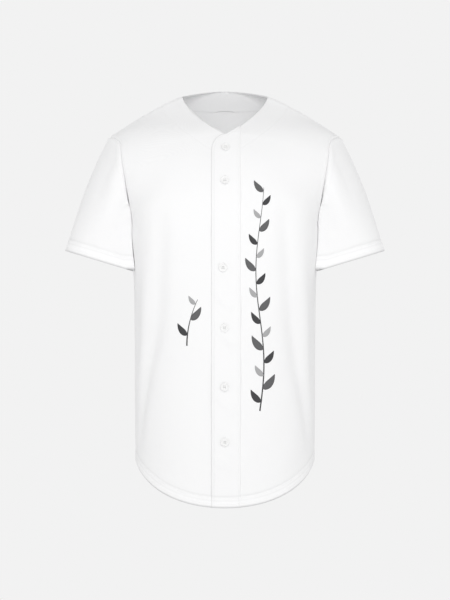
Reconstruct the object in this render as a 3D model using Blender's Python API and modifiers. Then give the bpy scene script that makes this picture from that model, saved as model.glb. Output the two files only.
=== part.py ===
"""Baseball jersey with a button front, filled out as if worn, with nobody in it.

Metres, +Z up. The front of the jersey faces -Y and the wearer's left is +X. The origin lies midway
between the two points where the shoulder seams meet the neckline. Every cloth piece is a closed wall:
an outer surface, an inner surface one wall's thickness inside it, and its cut edges.

A front or back piece is a set of rows. The lowest row is the hem and the highest is the shoulder seam.
Each row is one Bezier curve from the middle of the body, or from the neckline, out to the side seam,
or to the armhole. A sleeve is a set of such curves from the armhole to the cuff.
"""

import math
from collections import namedtuple

import bmesh
import bpy
import numpy as np
from mathutils import Matrix, Vector

# Cloth and clearances
WALL = 0.0016
SEAM_GAP = 0.0003
LAID_GAP = 0.0004
FACING_WALL = 0.0010
FACING_GAP = 0.0008
FACING_DEPTH = 0.0435
PLACKET_WALL = 0.0014

# Lengths and levels, from the neck points of the shoulders
HEM_SIDE_Z = -0.678
HEM_SIDE_ROUND = 0.15
HEM_CURVE = 1.2
HEM_FRONT_Z = -0.7680
HEM_BACK_Z = -0.7660
ARMPIT_Z = -0.2486
CHEST_Z = -0.2550
FRONT_NECK = Vector((0.0, -0.0900, -0.0778))
BACK_NECK = Vector((0.0, 0.0640, 0.0166))
NECK_POINT = Vector((0.0815, 0.0050, 0.0))
SIDE_Y = 0.0

# Handles of the two neckline curves, from the middle of the body to the neck point
FRONT_NECK_HANDLES = (Vector((0.032, -0.0800, -0.0605)), Vector((0.070, -0.0300, -0.0330)))
BACK_NECK_HANDLES = (Vector((0.040, 0.0640, 0.0166)), Vector((0.0755, 0.0340, 0.0070)))

# Half width at the side seam, how far the middle of the front and of the back stand from it, and how
# square the front's section is: 0.552 is an ellipse, more is fuller
BACK_FULLNESS = 0.60
Level = namedtuple("Level", "z side_x front_y back_y fullness")
BODY = [
    Level(-0.780, 0.1685, -0.1300, 0.1180, 0.60),
    Level(-0.686, 0.1688, -0.1310, 0.1160, 0.60),
    Level(-0.600, 0.1702, -0.1330, 0.1120, 0.60),
    Level(-0.450, 0.1708, -0.1380, 0.1060, 0.62),
    Level(-0.333, 0.1730, -0.1450, 0.1130, 0.73),
    Level(-0.245, 0.1790, -0.1485, 0.1250, 0.77),
    Level(-0.180, 0.1790, -0.1400, 0.1275, 0.77),
    Level(-0.120, 0.1790, -0.1150, 0.1200, 0.77),
    Level(-0.0778, 0.1790, -0.0900, 0.1085, 0.77),
    Level(-0.030, 0.1790, -0.0600, 0.0890, 0.77),
    Level(0.0166, 0.1790, -0.0300, 0.0640, 0.77),
]

# Armhole: an oval in a leaning plane, drawn in towards the body between its top and the armpit
ARMHOLE_CENTRE = Vector((0.1990, 0.0030, -0.1630))
ARMHOLE_UP = Vector((0.2305, 0.0, 0.9731))
ARMHOLE_OUT = Vector((0.9731, 0.0, -0.2305))
ARMHOLE_HALF_HEIGHT = 0.0880
ARMHOLE_FRONT_DEPTH = 0.0740
ARMHOLE_BACK_DEPTH = 0.0720
Scoop = namedtuple("Scoop", "angle front back")
SCOOPS = [
    Scoop(0.0, 0.0, 0.0),
    Scoop(18.0, 0.0100, 0.0050),
    Scoop(35.0, 0.0175, 0.0090),
    Scoop(61.0, 0.0150, 0.0100),
    Scoop(90.0, 0.0123, 0.0090),
    Scoop(119.0, 0.0090, 0.0070),
    Scoop(150.0, 0.0040, 0.0030),
    Scoop(180.0, 0.0, 0.0),
]

# Rows between the armpit and the shoulder seam. Station 0 is the armpit's row, 1 starts at the middle
# of the neckline and 2 is the shoulder seam. Each has the armhole's angle where the row ends, the
# handle by which it leaves the middle, and the handle by which it reaches the armhole.
Upper = namedtuple("Upper", "station angle leave_x leave_y leave_z reach_x reach_y reach_z")
FRONT_UPPER = [
    Upper(0.0, 180.0, 0.1378, 0.000, 0.000, 0.000, -0.1143, 0.000),
    Upper(0.35, 143.0, 0.1240, 0.000, 0.000, -0.014, -0.0850, 0.003),
    Upper(0.70, 104.0, 0.0960, 0.000, 0.000, -0.038, -0.0530, 0.010),
    Upper(1.0, 69.0, 0.0660, 0.004, -0.003, -0.053, -0.0330, 0.021),
    Upper(1.5, 32.0, 0.0520, 0.002, -0.012, -0.050, -0.0140, 0.030),
    Upper(2.0, 0.0, 0.0460, 0.000, -0.019, -0.046, 0.0000, 0.0325),
]
BACK_UPPER = [
    Upper(0.0, 180.0, 0.1074, 0.000, 0.000, 0.000, 0.0750, 0.000),
    Upper(0.30, 146.0, 0.1060, 0.000, 0.000, -0.020, 0.0580, 0.003),
    Upper(0.65, 102.0, 0.0980, 0.000, 0.000, -0.042, 0.0480, 0.012),
    Upper(1.0, 58.0, 0.0640, 0.004, -0.004, -0.054, 0.0240, 0.026),
    Upper(1.5, 28.0, 0.0520, 0.003, -0.012, -0.050, 0.0110, 0.031),
    Upper(2.0, 0.0, 0.0460, 0.000, -0.019, -0.046, 0.0000, 0.0325),
]

# Sleeve: the cuff is an oval across the sleeve's axis
CUFF_CENTRE = Vector((0.2392, 0.0, -0.3122))
CUFF_ACROSS = Vector((0.9573, 0.0, 0.2890))
CUFF_HALF_WIDTH = 0.0665
CUFF_HALF_DEPTH = 0.0590
CUFF_HANDLE = 0.060
# Section of the cuff, as shares of its half width and half depth: it lies round the body's side
Corner = namedtuple("Corner", "angle across deep")
CUFF_SECTION = [
    Corner(0.0, 1.0, 0.0),
    Corner(15.0, 0.966, 0.259),
    Corner(30.0, 0.866, 0.500),
    Corner(45.0, 0.707, 0.707),
    Corner(60.0, 0.500, 0.866),
    Corner(75.0, 0.259, 0.966),
    Corner(90.0, 0.0, 1.0),
    Corner(105.0, -0.290, 0.995),
    Corner(120.0, -0.600, 0.965),
    Corner(135.0, -0.900, 0.930),
    Corner(146.0, -1.015, 0.850),
    Corner(155.0, -1.040, 0.700),
    Corner(163.0, -1.025, 0.490),
    Corner(172.0, -1.005, 0.240),
    Corner(180.0, -1.0, 0.0),
]
# Lines of the sleeve leave the armhole and arrive at the cuff in these directions
Line = namedtuple("Line", "angle out depth down length arrive_out arrive_down")
SLEEVE_LINES = [
    Line(0.0, 0.53, 0.0, -0.848, 0.072, 0.289, -0.957),
    Line(45.0, 0.55, 0.16, -0.820, 0.060, 0.270, -0.962),
    Line(90.0, 0.46, 0.26, -0.850, 0.046, 0.200, -0.980),
    Line(120.0, 0.26, 0.30, -0.920, 0.040, 0.110, -0.994),
    Line(140.0, 0.21, 0.24, -0.950, 0.034, 0.040, -0.999),
    Line(160.0, 0.26, 0.07, -0.970, 0.028, -0.020, -0.999),
    Line(180.0, 0.12, 0.0, -1.000, 0.024, -0.050, -0.999),
]

# Soft folds: a level, how far round the body or the sleeve from the front's middle (or the sleeve's
# top) the fold runs there, and how deep and wide it is. A negative depth is a ridge.
Fold = namedtuple("Fold", "z along depth width")
LEFT_FRONT_FOLDS = [
    [
        Fold(-0.200, 0.1120, 0.0, 0.016),
        Fold(-0.250, 0.1140, 0.0045, 0.017),
        Fold(-0.330, 0.1200, 0.0055, 0.017),
        Fold(-0.440, 0.1320, 0.0060, 0.018),
        Fold(-0.540, 0.1560, 0.0050, 0.017),
        Fold(-0.610, 0.1780, 0.0035, 0.016),
        Fold(-0.680, 0.1900, 0.0, 0.016),
    ],
    [
        Fold(-0.280, 0.1560, 0.0, 0.014),
        Fold(-0.360, 0.1600, -0.0035, 0.016),
        Fold(-0.500, 0.1760, -0.0035, 0.016),
        Fold(-0.600, 0.2000, 0.0, 0.014),
    ],
]
RIGHT_FRONT_FOLDS = [
    [
        Fold(-0.200, 0.1180, 0.0, 0.016),
        Fold(-0.250, 0.1200, 0.0040, 0.017),
        Fold(-0.330, 0.1240, 0.0055, 0.017),
        Fold(-0.440, 0.1360, 0.0060, 0.018),
        Fold(-0.520, 0.1620, 0.0055, 0.017),
        Fold(-0.600, 0.1860, 0.0040, 0.016),
        Fold(-0.680, 0.2020, 0.0, 0.016),
    ],
    [
        Fold(-0.300, 0.1600, 0.0, 0.014),
        Fold(-0.380, 0.1640, -0.0035, 0.016),
        Fold(-0.480, 0.1780, -0.0040, 0.016),
        Fold(-0.580, 0.2040, 0.0, 0.014),
    ],
]
BACK_FOLDS = [
    [
        Fold(-0.180, 0.1180, 0.0, 0.018),
        Fold(-0.300, 0.1200, 0.0050, 0.020),
        Fold(-0.450, 0.1160, 0.0065, 0.022),
        Fold(-0.600, 0.1240, 0.0050, 0.022),
        Fold(-0.700, 0.1320, 0.0, 0.020),
    ],
    [
        Fold(-0.300, 0.1600, 0.0, 0.016),
        Fold(-0.440, 0.1600, -0.0045, 0.018),
        Fold(-0.600, 0.1680, -0.0030, 0.018),
        Fold(-0.680, 0.1720, 0.0, 0.016),
    ],
]

# Folds of a sleeve run down from the armhole: how far round from the top in degrees (the front is
# positive), how far down the sleeve they start and end, and their depth and width in degrees
SleeveFold = namedtuple("SleeveFold", "angle start end depth width")
SLEEVE_FOLDS = [
    SleeveFold(52.0, 0.04, 0.62, 0.0040, 13.0),
    SleeveFold(84.0, 0.02, 0.75, -0.0035, 14.0),
    SleeveFold(112.0, 0.10, 0.80, 0.0035, 13.0),
    SleeveFold(-56.0, 0.04, 0.66, 0.0040, 14.0),
    SleeveFold(-92.0, 0.06, 0.72, -0.0035, 15.0),
    SleeveFold(-122.0, 0.10, 0.78, 0.0030, 13.0),
]

# Front edge: the left front laps over the right one
STAND_EDGE_X = 0.0240
LEFT_EDGE_X = 0.0245
PLACKET_EDGE_X = -0.0252
PLACKET_SEAM_X = 0.0300
PLACKET_TOP_WIDTH = 0.0006
PLACKET_ROUND = 0.030
STAND_ROUND = 0.026

# Slanting puckers that lift the placket: middle of each, its half length, slope, height and width
Pucker = namedtuple("Pucker", "x z half_length slope height width")
PUCKERS = [
    Pucker(-0.004, -0.385, 0.030, -1.15, 0.0016, 0.008),
    Pucker(0.003, -0.455, 0.030, -0.85, 0.0018, 0.008),
    Pucker(0.004, -0.580, 0.028, -1.05, 0.0016, 0.008),
    Pucker(-0.002, -0.690, 0.026, -0.60, 0.0014, 0.009),
]

# Grid of each piece
LOWER_ROWS = 20
BACK_LOWER_ROWS = 10
FRONT_NECK_ROWS = 10
BACK_NECK_ROWS = 8
FRONT_SHOULDER_ROWS = 4
BACK_SHOULDER_ROWS = 7
FRONT_COLUMNS = 17
BACK_COLUMNS = 15
PLACKET_COLUMNS = 4
SLEEVE_ROWS = 10
FACING_DEPTH_ROWS = 2
FACING_ROWS = FACING_DEPTH_ROWS + BACK_SHOULDER_ROWS + 1
FACING_COLUMNS = 4

# Buttons
Button = namedtuple("Button", "x z")
BUTTONS = [
    Button(0.0010, -0.1040),
    Button(-0.0004, -0.1667),
    Button(-0.0038, -0.3264),
    Button(-0.0009, -0.4369),
    Button(-0.0009, -0.5450),
    Button(-0.0004, -0.6467),
]
BUTTON_RADIUS = 0.0080
BUTTON_THICKNESS = 0.0026
BUTTON_RIM = 0.0021
BUTTON_DISH = 0.0009
BUTTON_STEPS = 18
BUTTON_HOLE_RADIUS = 0.0009
BUTTON_HOLE_OFFSET = 0.0015
BUTTON_HOLE_SIDES = 6
BUTTON_LEAN = math.radians(4.0)

# How far the facing's ends stay short of the shoulder seam, and how much of a row its lower edge may take
FACING_PULL = 0.002
FACING_SEARCH = 0.6

# Roughly where the facing's and the placket's outer sides face
FACING_TOWARD = np.array((0.2, 1.0, 0.5))
PLACKET_TOWARD = np.array((0.0, -1.0, 0.2))

# Finishes: colour, roughness, metallic
CLOTH_WHITE = ((0.89, 0.89, 0.893, 1.0), 0.88, 0.0)
FACING_WHITE = ((0.87, 0.87, 0.875, 1.0), 0.90, 0.0)
BUTTON_WHITE = ((0.90, 0.90, 0.895, 1.0), 0.32, 0.0)


def clear_scene():
    """Remove every object that the file starts with."""
    for item in list(bpy.data.objects):
        bpy.data.objects.remove(item, do_unlink=True)


def make_collection(name):
    """A collection linked to the scene."""
    group = bpy.data.collections.new(name)
    bpy.context.scene.collection.children.link(group)
    return group


def make_material(name, finish):
    """A Principled material with one finish."""
    colour, roughness, metallic = finish
    material = bpy.data.materials.new(name)
    material.use_nodes = True
    shader = material.node_tree.nodes["Principled BSDF"]
    shader.inputs["Base Color"].default_value = colour
    shader.inputs["Roughness"].default_value = roughness
    shader.inputs["Metallic"].default_value = metallic
    return material


def spline(knots, values, at):
    """A smooth curve through values at rising knots, read at one place."""
    knots = np.asarray(knots, float)
    values = np.asarray(values, float)
    slopes = np.gradient(values, knots)
    at = min(max(at, knots[0]), knots[-1])
    i = min(max(int(np.searchsorted(knots, at)) - 1, 0), len(knots) - 2)
    step = knots[i + 1] - knots[i]
    s = (at - knots[i]) / step
    start = (2 * s**3 - 3 * s**2 + 1) * values[i] + (s**3 - 2 * s**2 + s) * step * slopes[i]
    end = (3 * s**2 - 2 * s**3) * values[i + 1] + (s**3 - s**2) * step * slopes[i + 1]
    return start + end


def read_table(table, key, at, column):
    """One column of a table at a place between its rows."""
    rows = sorted(table, key=lambda row: getattr(row, key))
    return spline([getattr(row, key) for row in rows], [getattr(row, column) for row in rows], at)


def bezier(curve, t):
    """A point of a cubic curve given by its four points."""
    a, b, c, d = curve
    t = float(t)
    s = 1.0 - t
    return a * s**3 + b * (3 * s * s * t) + c * (3 * s * t * t) + d * t**3


def parameter_at_x(curve, x):
    """Where a row that runs outwards reaches a distance from the middle."""
    places = np.linspace(0.0, 1.0, 81)
    across = [bezier(curve, t).x for t in places]
    return float(np.interp(x, across, places))


def armhole_point(angle, side_y):
    """A point of the left armhole. Side_y is -1 on the front and 1 on the back."""
    turn = math.radians(angle)
    column = "front" if side_y < 0 else "back"
    depth = ARMHOLE_FRONT_DEPTH if side_y < 0 else ARMHOLE_BACK_DEPTH
    scoop = read_table(SCOOPS, "angle", angle, column)
    point = ARMHOLE_CENTRE + ARMHOLE_UP * (ARMHOLE_HALF_HEIGHT * math.cos(turn))
    point = point + Vector((0.0, side_y * depth * math.sin(turn), 0.0))
    return point - ARMHOLE_OUT * scoop


def lower_curve(share, side_y):
    """A row between the hem, share 0, and the armpit, share 1."""
    hem_z = HEM_FRONT_Z if side_y < 0 else HEM_BACK_Z
    column = "front_y" if side_y < 0 else "back_y"
    side_z = HEM_SIDE_Z + (ARMPIT_Z - HEM_SIDE_Z) * share
    middle_z = hem_z + (CHEST_Z - hem_z) * share
    outer = Vector((read_table(BODY, "z", side_z, "side_x"), SIDE_Y, side_z))
    if share >= 1.0:
        outer = armhole_point(180.0, side_y)
    middle = Vector((0.0, read_table(BODY, "z", middle_z, column), middle_z))
    fullness = read_table(BODY, "z", side_z, "fullness") if side_y < 0 else BACK_FULLNESS
    leave = Vector((outer.x * fullness, 0.0, 0.0))
    reach = Vector((0.0, middle.y - outer.y, middle.z - outer.z)) * fullness
    return (middle, middle + leave, outer + reach, outer)


def upper_curve(station, side_y):
    """A row between the armpit, station 0, and the shoulder seam, station 2."""
    table = FRONT_UPPER if side_y < 0 else BACK_UPPER
    column = "front_y" if side_y < 0 else "back_y"
    neck = FRONT_NECK if side_y < 0 else BACK_NECK
    handles = FRONT_NECK_HANDLES if side_y < 0 else BACK_NECK_HANDLES
    if station <= 1.0:
        z = CHEST_Z + (neck.z - CHEST_Z) * station
        middle = Vector((0.0, read_table(BODY, "z", z, column), z))
    else:
        middle = bezier((neck, handles[0], handles[1], NECK_POINT), station - 1.0)
    leave = Vector([read_table(table, "station", station, name) for name in ("leave_x", "leave_y", "leave_z")])
    reach = Vector([read_table(table, "station", station, name) for name in ("reach_x", "reach_y", "reach_z")])
    outer = armhole_point(read_table(table, "station", station, "angle"), side_y)
    return (middle, middle + leave, outer + reach, outer)


def neck_station(x):
    """The station of the row that starts where the front neckline is this far from the middle."""
    return 1.0 + parameter_at_x((FRONT_NECK, *FRONT_NECK_HANDLES, NECK_POINT), x)


def stations(side_y):
    """The rows above the armpit: closer together towards the middle of the neckline.

    On the front, one row starts where the left front's edge meets the neckline, and one where the
    placket's seam does.
    """
    if side_y > 0:
        below = [1.0 - (1.0 - i / BACK_NECK_ROWS) ** 1.45 for i in range(1, BACK_NECK_ROWS + 1)]
        return below + [1.0 + i / BACK_SHOULDER_ROWS for i in range(1, BACK_SHOULDER_ROWS + 1)]
    below = [1.0 - (1.0 - i / FRONT_NECK_ROWS) ** 1.45 for i in range(1, FRONT_NECK_ROWS + 1)]
    edge = neck_station(LEFT_EDGE_X)
    seam = neck_station(PLACKET_SEAM_X - PLACKET_TOP_WIDTH)
    rest = [seam + (2.0 - seam) * i / FRONT_SHOULDER_ROWS for i in range(1, FRONT_SHOULDER_ROWS + 1)]
    return below + [(1.0 + edge) / 2, edge, seam] + rest


def all_curves(side_y):
    """Every row of the front or the back, from the hem to the shoulder seam."""
    lower_rows = LOWER_ROWS if side_y < 0 else BACK_LOWER_ROWS
    lower = [lower_curve(i / lower_rows, side_y) for i in range(lower_rows + 1)]
    return lower + [upper_curve(station, side_y) for station in stations(side_y)]


def sample(curve, start_x, columns):
    """Points of a row from a distance, which may lie past the middle, out to its end."""
    if start_x < 0.0:
        start = -parameter_at_x(curve, -start_x)
    else:
        start = parameter_at_x(curve, max(start_x, curve[0].x))
    points = []
    for j in range(columns + 1):
        t = start + (1.0 - start) * j / columns
        point = bezier(curve, abs(t))
        points.append((point.x if t >= 0.0 else -point.x, point.y, point.z))
    return points


def unit(vectors):
    """Vectors of length 1."""
    return vectors / np.maximum(np.linalg.norm(vectors, axis=-1, keepdims=True), 1e-9)


def normals_of(points, toward, around=False):
    """Normals of a grid, turned to the side that toward gives. Around closes its columns."""
    up = np.gradient(points, axis=0)
    if around:
        across = np.roll(points, -1, axis=1) - np.roll(points, 1, axis=1)
    else:
        across = np.gradient(points, axis=1)
    found = unit(np.cross(up, across))
    turn = np.sign(np.sum(found * toward, axis=-1).mean())
    return found * turn


def fold_depth(folds, points):
    """How far a set of folds moves each point inwards. It fades out towards the grid's side edges."""
    steps = np.linalg.norm(np.diff(points, axis=1), axis=-1)
    first = points[:, :1, 0] * np.sign(points[:, -1:, 0])
    along = np.concatenate([first, first + np.cumsum(steps, axis=1)], axis=1)
    along[points[..., 0] * np.sign(points[:, -1:, 0]) < 0.0] = 0.0
    depth = np.zeros(points.shape[:2])
    for i in range(1, points.shape[0] - 1):
        for j in range(1, points.shape[1] - 1):
            z = points[i, j, 2]
            for fold in folds:
                if not min(row.z for row in fold) < z < max(row.z for row in fold):
                    continue
                off = along[i, j] - read_table(fold, "z", z, "along")
                width = read_table(fold, "z", z, "width")
                depth[i, j] += read_table(fold, "z", z, "depth") * math.exp(-((off / width) ** 2))
    return depth


def stand_start(curve):
    """Where a row of the right front starts: past the middle, rounded off under the neckline."""
    drop = max(0.0, FRONT_NECK.z - curve[0].z)
    return -STAND_EDGE_X * min(1.0, (drop / STAND_ROUND) ** 0.6)


def left_start(curve):
    """Where a row of the left front starts: under the placket's seam, or at the neckline."""
    return max(LEFT_EDGE_X, curve[0].x)


def right_start(curve):
    """Where a row of the right front starts, or the neckline above it."""
    return curve[0].x if curve[0].x > 1e-6 else stand_start(curve)


def back_start(curve):
    """Where a row of the back starts: at the middle, or at the neckline."""
    return curve[0].x


def round_hem(points, curves, lower_rows):
    """Lower the rows towards the side seam, so that the hem runs round it without a peak."""
    for i in range(lower_rows):
        middle, outer = curves[i][0], curves[i][3]
        share = np.abs((points[i, :, 1] - outer.y) / (middle.y - outer.y))
        drop = np.hypot(share**HEM_CURVE, HEM_SIDE_ROUND) - share - math.hypot(1.0, HEM_SIDE_ROUND) + 1.0
        points[i, :, 2] += (middle.z - outer.z) * drop


def body_grid(side_y, lower_rows, columns, start, folds):
    """Points and normals of one half of the front or back, on the wearer's left."""
    curves = all_curves(side_y)
    points = np.array([sample(curve, start(curve), columns) for curve in curves])
    round_hem(points, curves, lower_rows)
    toward = np.array((0.35, side_y, 0.25))
    normals = normals_of(points, toward)
    points = points - normals * fold_depth(folds, points)[..., None]
    normals = normals_of(points, toward)
    seam = np.gradient(points[:, -1], axis=0)
    side = unit(np.cross(np.array((0.0, -1.0, 0.0)), seam))
    side = side * np.sign(side[:, :1])
    normals[:lower_rows + 1, -1] = side[:lower_rows + 1]
    on_middle = np.abs(points[:, 0, 0]) < 1e-6
    normals[on_middle, 0, 0] = 0.0
    return points, unit(normals)


def ring_angles():
    """Signed angles round the armhole, from the armpit up the front and down the back."""
    front = [read_table(FRONT_UPPER, "station", place, "angle") for place in stations(-1.0)]
    back = [read_table(BACK_UPPER, "station", place, "angle") for place in stations(1.0)]
    return [180.0] + front + [-angle for angle in reversed(back[:-1])]


def sleeve_curve(angle):
    """One line of the sleeve, from the armhole to the cuff."""
    side_y = -1.0 if angle >= 0.0 else 1.0
    size = abs(angle)
    start = armhole_point(size, side_y)
    out, depth, down, length, arrive_out, arrive_down = [
        read_table(SLEEVE_LINES, "angle", size, column) for column in Line._fields[1:]]
    direction = Vector((out, side_y * depth, down)).normalized()
    across, deep = [read_table(CUFF_SECTION, "angle", size, column) for column in ("across", "deep")]
    end = CUFF_CENTRE + CUFF_ACROSS * (CUFF_HALF_WIDTH * across)
    end = end + Vector((0.0, side_y * CUFF_HALF_DEPTH * deep, 0.0))
    handle = Vector((arrive_out, 0.0, arrive_down)) * min(CUFF_HANDLE, 0.45 * (end - start).length)
    return (start, start + direction * length, end - handle, end)


def sleeve_fold_depth(angle, share, folds):
    """How far the folds move a point of the sleeve inwards."""
    depth = 0.0
    for fold in folds:
        if fold.start < share < fold.end:
            middle = (share - fold.start) / (fold.end - fold.start)
            swell = math.sin(math.pi * middle)
            depth += fold.depth * swell * math.exp(-(((angle - fold.angle) / fold.width) ** 2))
    return depth


def sleeve_grid(folds):
    """Points and normals of the left sleeve: rows from the armhole to the cuff, columns around."""
    angles = ring_angles()
    curves = [sleeve_curve(angle) for angle in angles]
    shares = [(i / SLEEVE_ROWS) ** 1.1 for i in range(SLEEVE_ROWS + 1)]
    points = np.array([[tuple(bezier(curve, share)) for curve in curves] for share in shares])
    middles = points.mean(axis=1, keepdims=True)
    normals = normals_of(points, points - middles, around=True)
    depth = np.array([[sleeve_fold_depth(angle, share, folds) for angle in angles] for share in shares])
    points = points - normals * depth[..., None]
    return points, normals_of(points, points - middles, around=True)


def join_armhole(front, back, sleeve):
    """Give the body's edge and the sleeve's edge the same normals, so that their walls meet face to face.

    At the armpit both walls come up from below, so the shared normal there points down.
    """
    front_edge = front[1][LOWER_ROWS:, -1]
    back_edge = back[1][BACK_LOWER_ROWS:, -1]
    ring = sleeve[1][0]
    tip = len(front_edge) - 1
    back_rows = [0] + list(range(len(ring) - 1, tip - 1, -1))
    body = np.zeros_like(ring)
    body[:tip + 1] = front_edge
    for row, place in enumerate(back_rows):
        shared_corner = place in (0, tip)
        body[place] = (body[place] + back_edge[row]) / 2 if shared_corner else back_edge[row]
    under = np.maximum(0.0, -np.cos(np.radians(ring_angles()))) ** 4
    ring[:] = unit(ring + body + under[:, None] * np.array((0.0, 0.0, -1.0)))
    front_edge[:] = ring[:tip + 1]
    back_edge[:] = ring[back_rows]


def join_shoulder(front, back):
    """Shared normals along the shoulder seam, whose two sides have unlike columns."""
    front_share = np.linspace(0.0, 1.0, front[0].shape[1])
    back_share = np.linspace(0.0, 1.0, back[0].shape[1])
    front_top = front[1][-1].copy()
    back_top = back[1][-1].copy()
    for k in range(3):
        front[1][-1, :-1, k] += np.interp(front_share, back_share, back_top[:, k])[:-1]
        back[1][-1, :-1, k] += np.interp(back_share, front_share, front_top[:, k])[:-1]
    front[1][-1] = unit(front[1][-1])
    back[1][-1] = unit(back[1][-1])


def pull_in(points, edge, inner, distance):
    """Move one edge of a grid towards its neighbours by a distance."""
    points[edge] = points[edge] + unit(points[inner] - points[edge]) * distance


def trim_body(layers, lower_rows):
    """Open the seam gaps of a front or back: at the side, the shoulder and the armhole."""
    half = SEAM_GAP / 2
    out = np.array(ARMHOLE_OUT)
    for points in layers:
        pull_in(points, np.s_[-1, :], np.s_[-2, :], half)
        pull_in(points, np.s_[:lower_rows, -1], np.s_[:lower_rows, -2], half)
        points[lower_rows:, -1] -= out * half


def wall(name, outer, inner, cells, group, material, around=False):
    """A closed solid between two grids of points. Cells says which squares of the grid it has."""
    numbers = {}
    corners = []

    def number(layer, i, j):
        point = (outer, inner)[layer][i, j]
        key = (layer,) + tuple(round(float(c), 6) for c in point)
        if key not in numbers:
            numbers[key] = len(corners)
            corners.append(tuple(float(c) for c in point))
        return numbers[key]

    faces = []
    edges = {}
    rows, columns = outer.shape[:2]
    for i in range(rows - 1):
        for j in range(columns if around else columns - 1):
            if not cells(i, j):
                continue
            ring = [(i, j), (i, (j + 1) % columns), (i + 1, (j + 1) % columns), (i + 1, j)]
            outside = [number(0, *place) for place in ring]
            inside = [number(1, *place) for place in ring]
            faces.append(outside)
            faces.append(inside[::-1])
            for k in range(4):
                start, end = outside[k], outside[(k + 1) % 4]
                if (end, start) in edges:
                    edges.pop((end, start))
                elif start != end:
                    edges[(start, end)] = (inside[k], inside[(k + 1) % 4])
    for (start, end), (inner_start, inner_end) in edges.items():
        faces.append([end, start, inner_start, inner_end])

    mesh = bpy.data.meshes.new(name)
    shell = bmesh.new()
    places = [shell.verts.new(corner) for corner in corners]
    for face in faces:
        distinct = list(dict.fromkeys(face))
        if len(distinct) > 2:
            shell.faces.new([places[k] for k in distinct])
    bmesh.ops.triangulate(shell, faces=shell.faces[:])
    bmesh.ops.recalc_face_normals(shell, faces=shell.faces[:])
    shell.to_mesh(mesh)
    shell.free()
    piece = bpy.data.objects.new(name, mesh)
    piece.data.materials.append(material)
    piece.data.shade_smooth()
    group.objects.link(piece)
    return piece


def everywhere(i, j):
    """Every square of a grid is cloth."""
    return True


def mirrored(points):
    """The same points on the wearer's other side."""
    return points * np.array((-1.0, 1.0, 1.0))


def layers_of(grid, thickness):
    """Outer and inner points of a wall."""
    points, normals = grid
    return points.copy(), points - normals * thickness


def pucker_height(x, z):
    """How far the placket's puckers lift it."""
    height = 0.0
    for pucker in PUCKERS:
        length = math.hypot(1.0, pucker.slope)
        along = ((x - pucker.x) + (z - pucker.z) * pucker.slope) / length
        off = ((z - pucker.z) - (x - pucker.x) * pucker.slope) / length
        fade = max(0.0, 1.0 - (along / pucker.half_length) ** 2)
        height += pucker.height * fade * math.exp(-((off / pucker.width) ** 2))
    return height


def placket_limits(curve):
    """The placket's two edges on a row: rounded at its top towards the neckline."""
    if curve[0].x > 1e-6:
        return curve[0].x, PLACKET_SEAM_X
    drop = min(1.0, max(0.0, FRONT_NECK.z - curve[0].z) / PLACKET_ROUND)
    return PLACKET_EDGE_X * math.sqrt(1.0 - (1.0 - drop) ** 2), PLACKET_SEAM_X


def front_surface(curve, x):
    """A point of the front at a distance from the middle, on either side."""
    point = bezier(curve, parameter_at_x(curve, abs(x)))
    return Vector((math.copysign(point.x, x), point.y, point.z))


def placket_grid():
    """Points and normals of the placket's inner face, laid on the fronts and lifted by its puckers."""
    curves = [curve for curve in all_curves(-1.0) if curve[0].x < PLACKET_SEAM_X]
    rows = []
    for curve in curves:
        low, high = placket_limits(curve)
        places = [low + (high - low) * j / PLACKET_COLUMNS for j in range(PLACKET_COLUMNS + 1)]
        rows.append([tuple(front_surface(curve, x)) for x in places])
    points = np.array(rows)
    normals = normals_of(points, PLACKET_TOWARD)
    lift = np.array([[LAID_GAP + pucker_height(p[0], p[2]) for p in row] for row in points])
    return points + normals * lift[..., None], normals


def facing_layers():
    """Outer and inner points of the left half of the facing inside the back neckline.

    It is as deep as FACING_DEPTH all along the neckline, measured over the back's surface.
    """
    neckline = (BACK_NECK, *BACK_NECK_HANDLES, NECK_POINT)
    edge = np.array([bezier(neckline, t) for t in np.linspace(0.0, 1.0, 41)])
    rows = []
    for curve in all_curves(1.0)[-FACING_ROWS:]:
        places = np.linspace(0.0, FACING_SEARCH, 61)
        course = np.array([bezier(curve, t) for t in places])
        away = np.linalg.norm(course[:, None] - edge[None], axis=-1).min(axis=1)
        limit = places[int(np.argmax(away > FACING_DEPTH))]
        rows.append([tuple(bezier(curve, limit * j / FACING_COLUMNS)) for j in range(FACING_COLUMNS + 1)])
    points = np.array(rows)
    normals = normals_of(points, FACING_TOWARD)
    normals[np.abs(points[..., 0]) < 1e-6, 0] = 0.0
    normals = unit(normals)
    outer = points - normals * (WALL + FACING_GAP)
    inner = outer - normals * FACING_WALL
    for layer in (outer, inner):
        pull_in(layer, np.s_[-1, :], np.s_[-2, :], FACING_PULL)
    return outer, inner


def button_mesh():
    """A turned button with a raised rim round a dish, standing on its back at the origin."""
    profile = [
        (0.0, BUTTON_THICKNESS - BUTTON_DISH),
        (BUTTON_RADIUS - BUTTON_RIM - 0.0008, BUTTON_THICKNESS - BUTTON_DISH),
        (BUTTON_RADIUS - BUTTON_RIM, BUTTON_THICKNESS - 0.0001),
        (BUTTON_RADIUS - 0.0007, BUTTON_THICKNESS),
        (BUTTON_RADIUS, BUTTON_THICKNESS * 0.55),
        (BUTTON_RADIUS - 0.0007, 0.0),
        (0.0, 0.0),
    ]
    shell = bmesh.new()
    places = [shell.verts.new((x, 0.0, z)) for x, z in profile]
    for first, second in zip(places, places[1:]):
        shell.edges.new((first, second))
    mesh = bpy.data.meshes.new("button")
    shell.to_mesh(mesh)
    shell.free()
    return mesh


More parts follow.
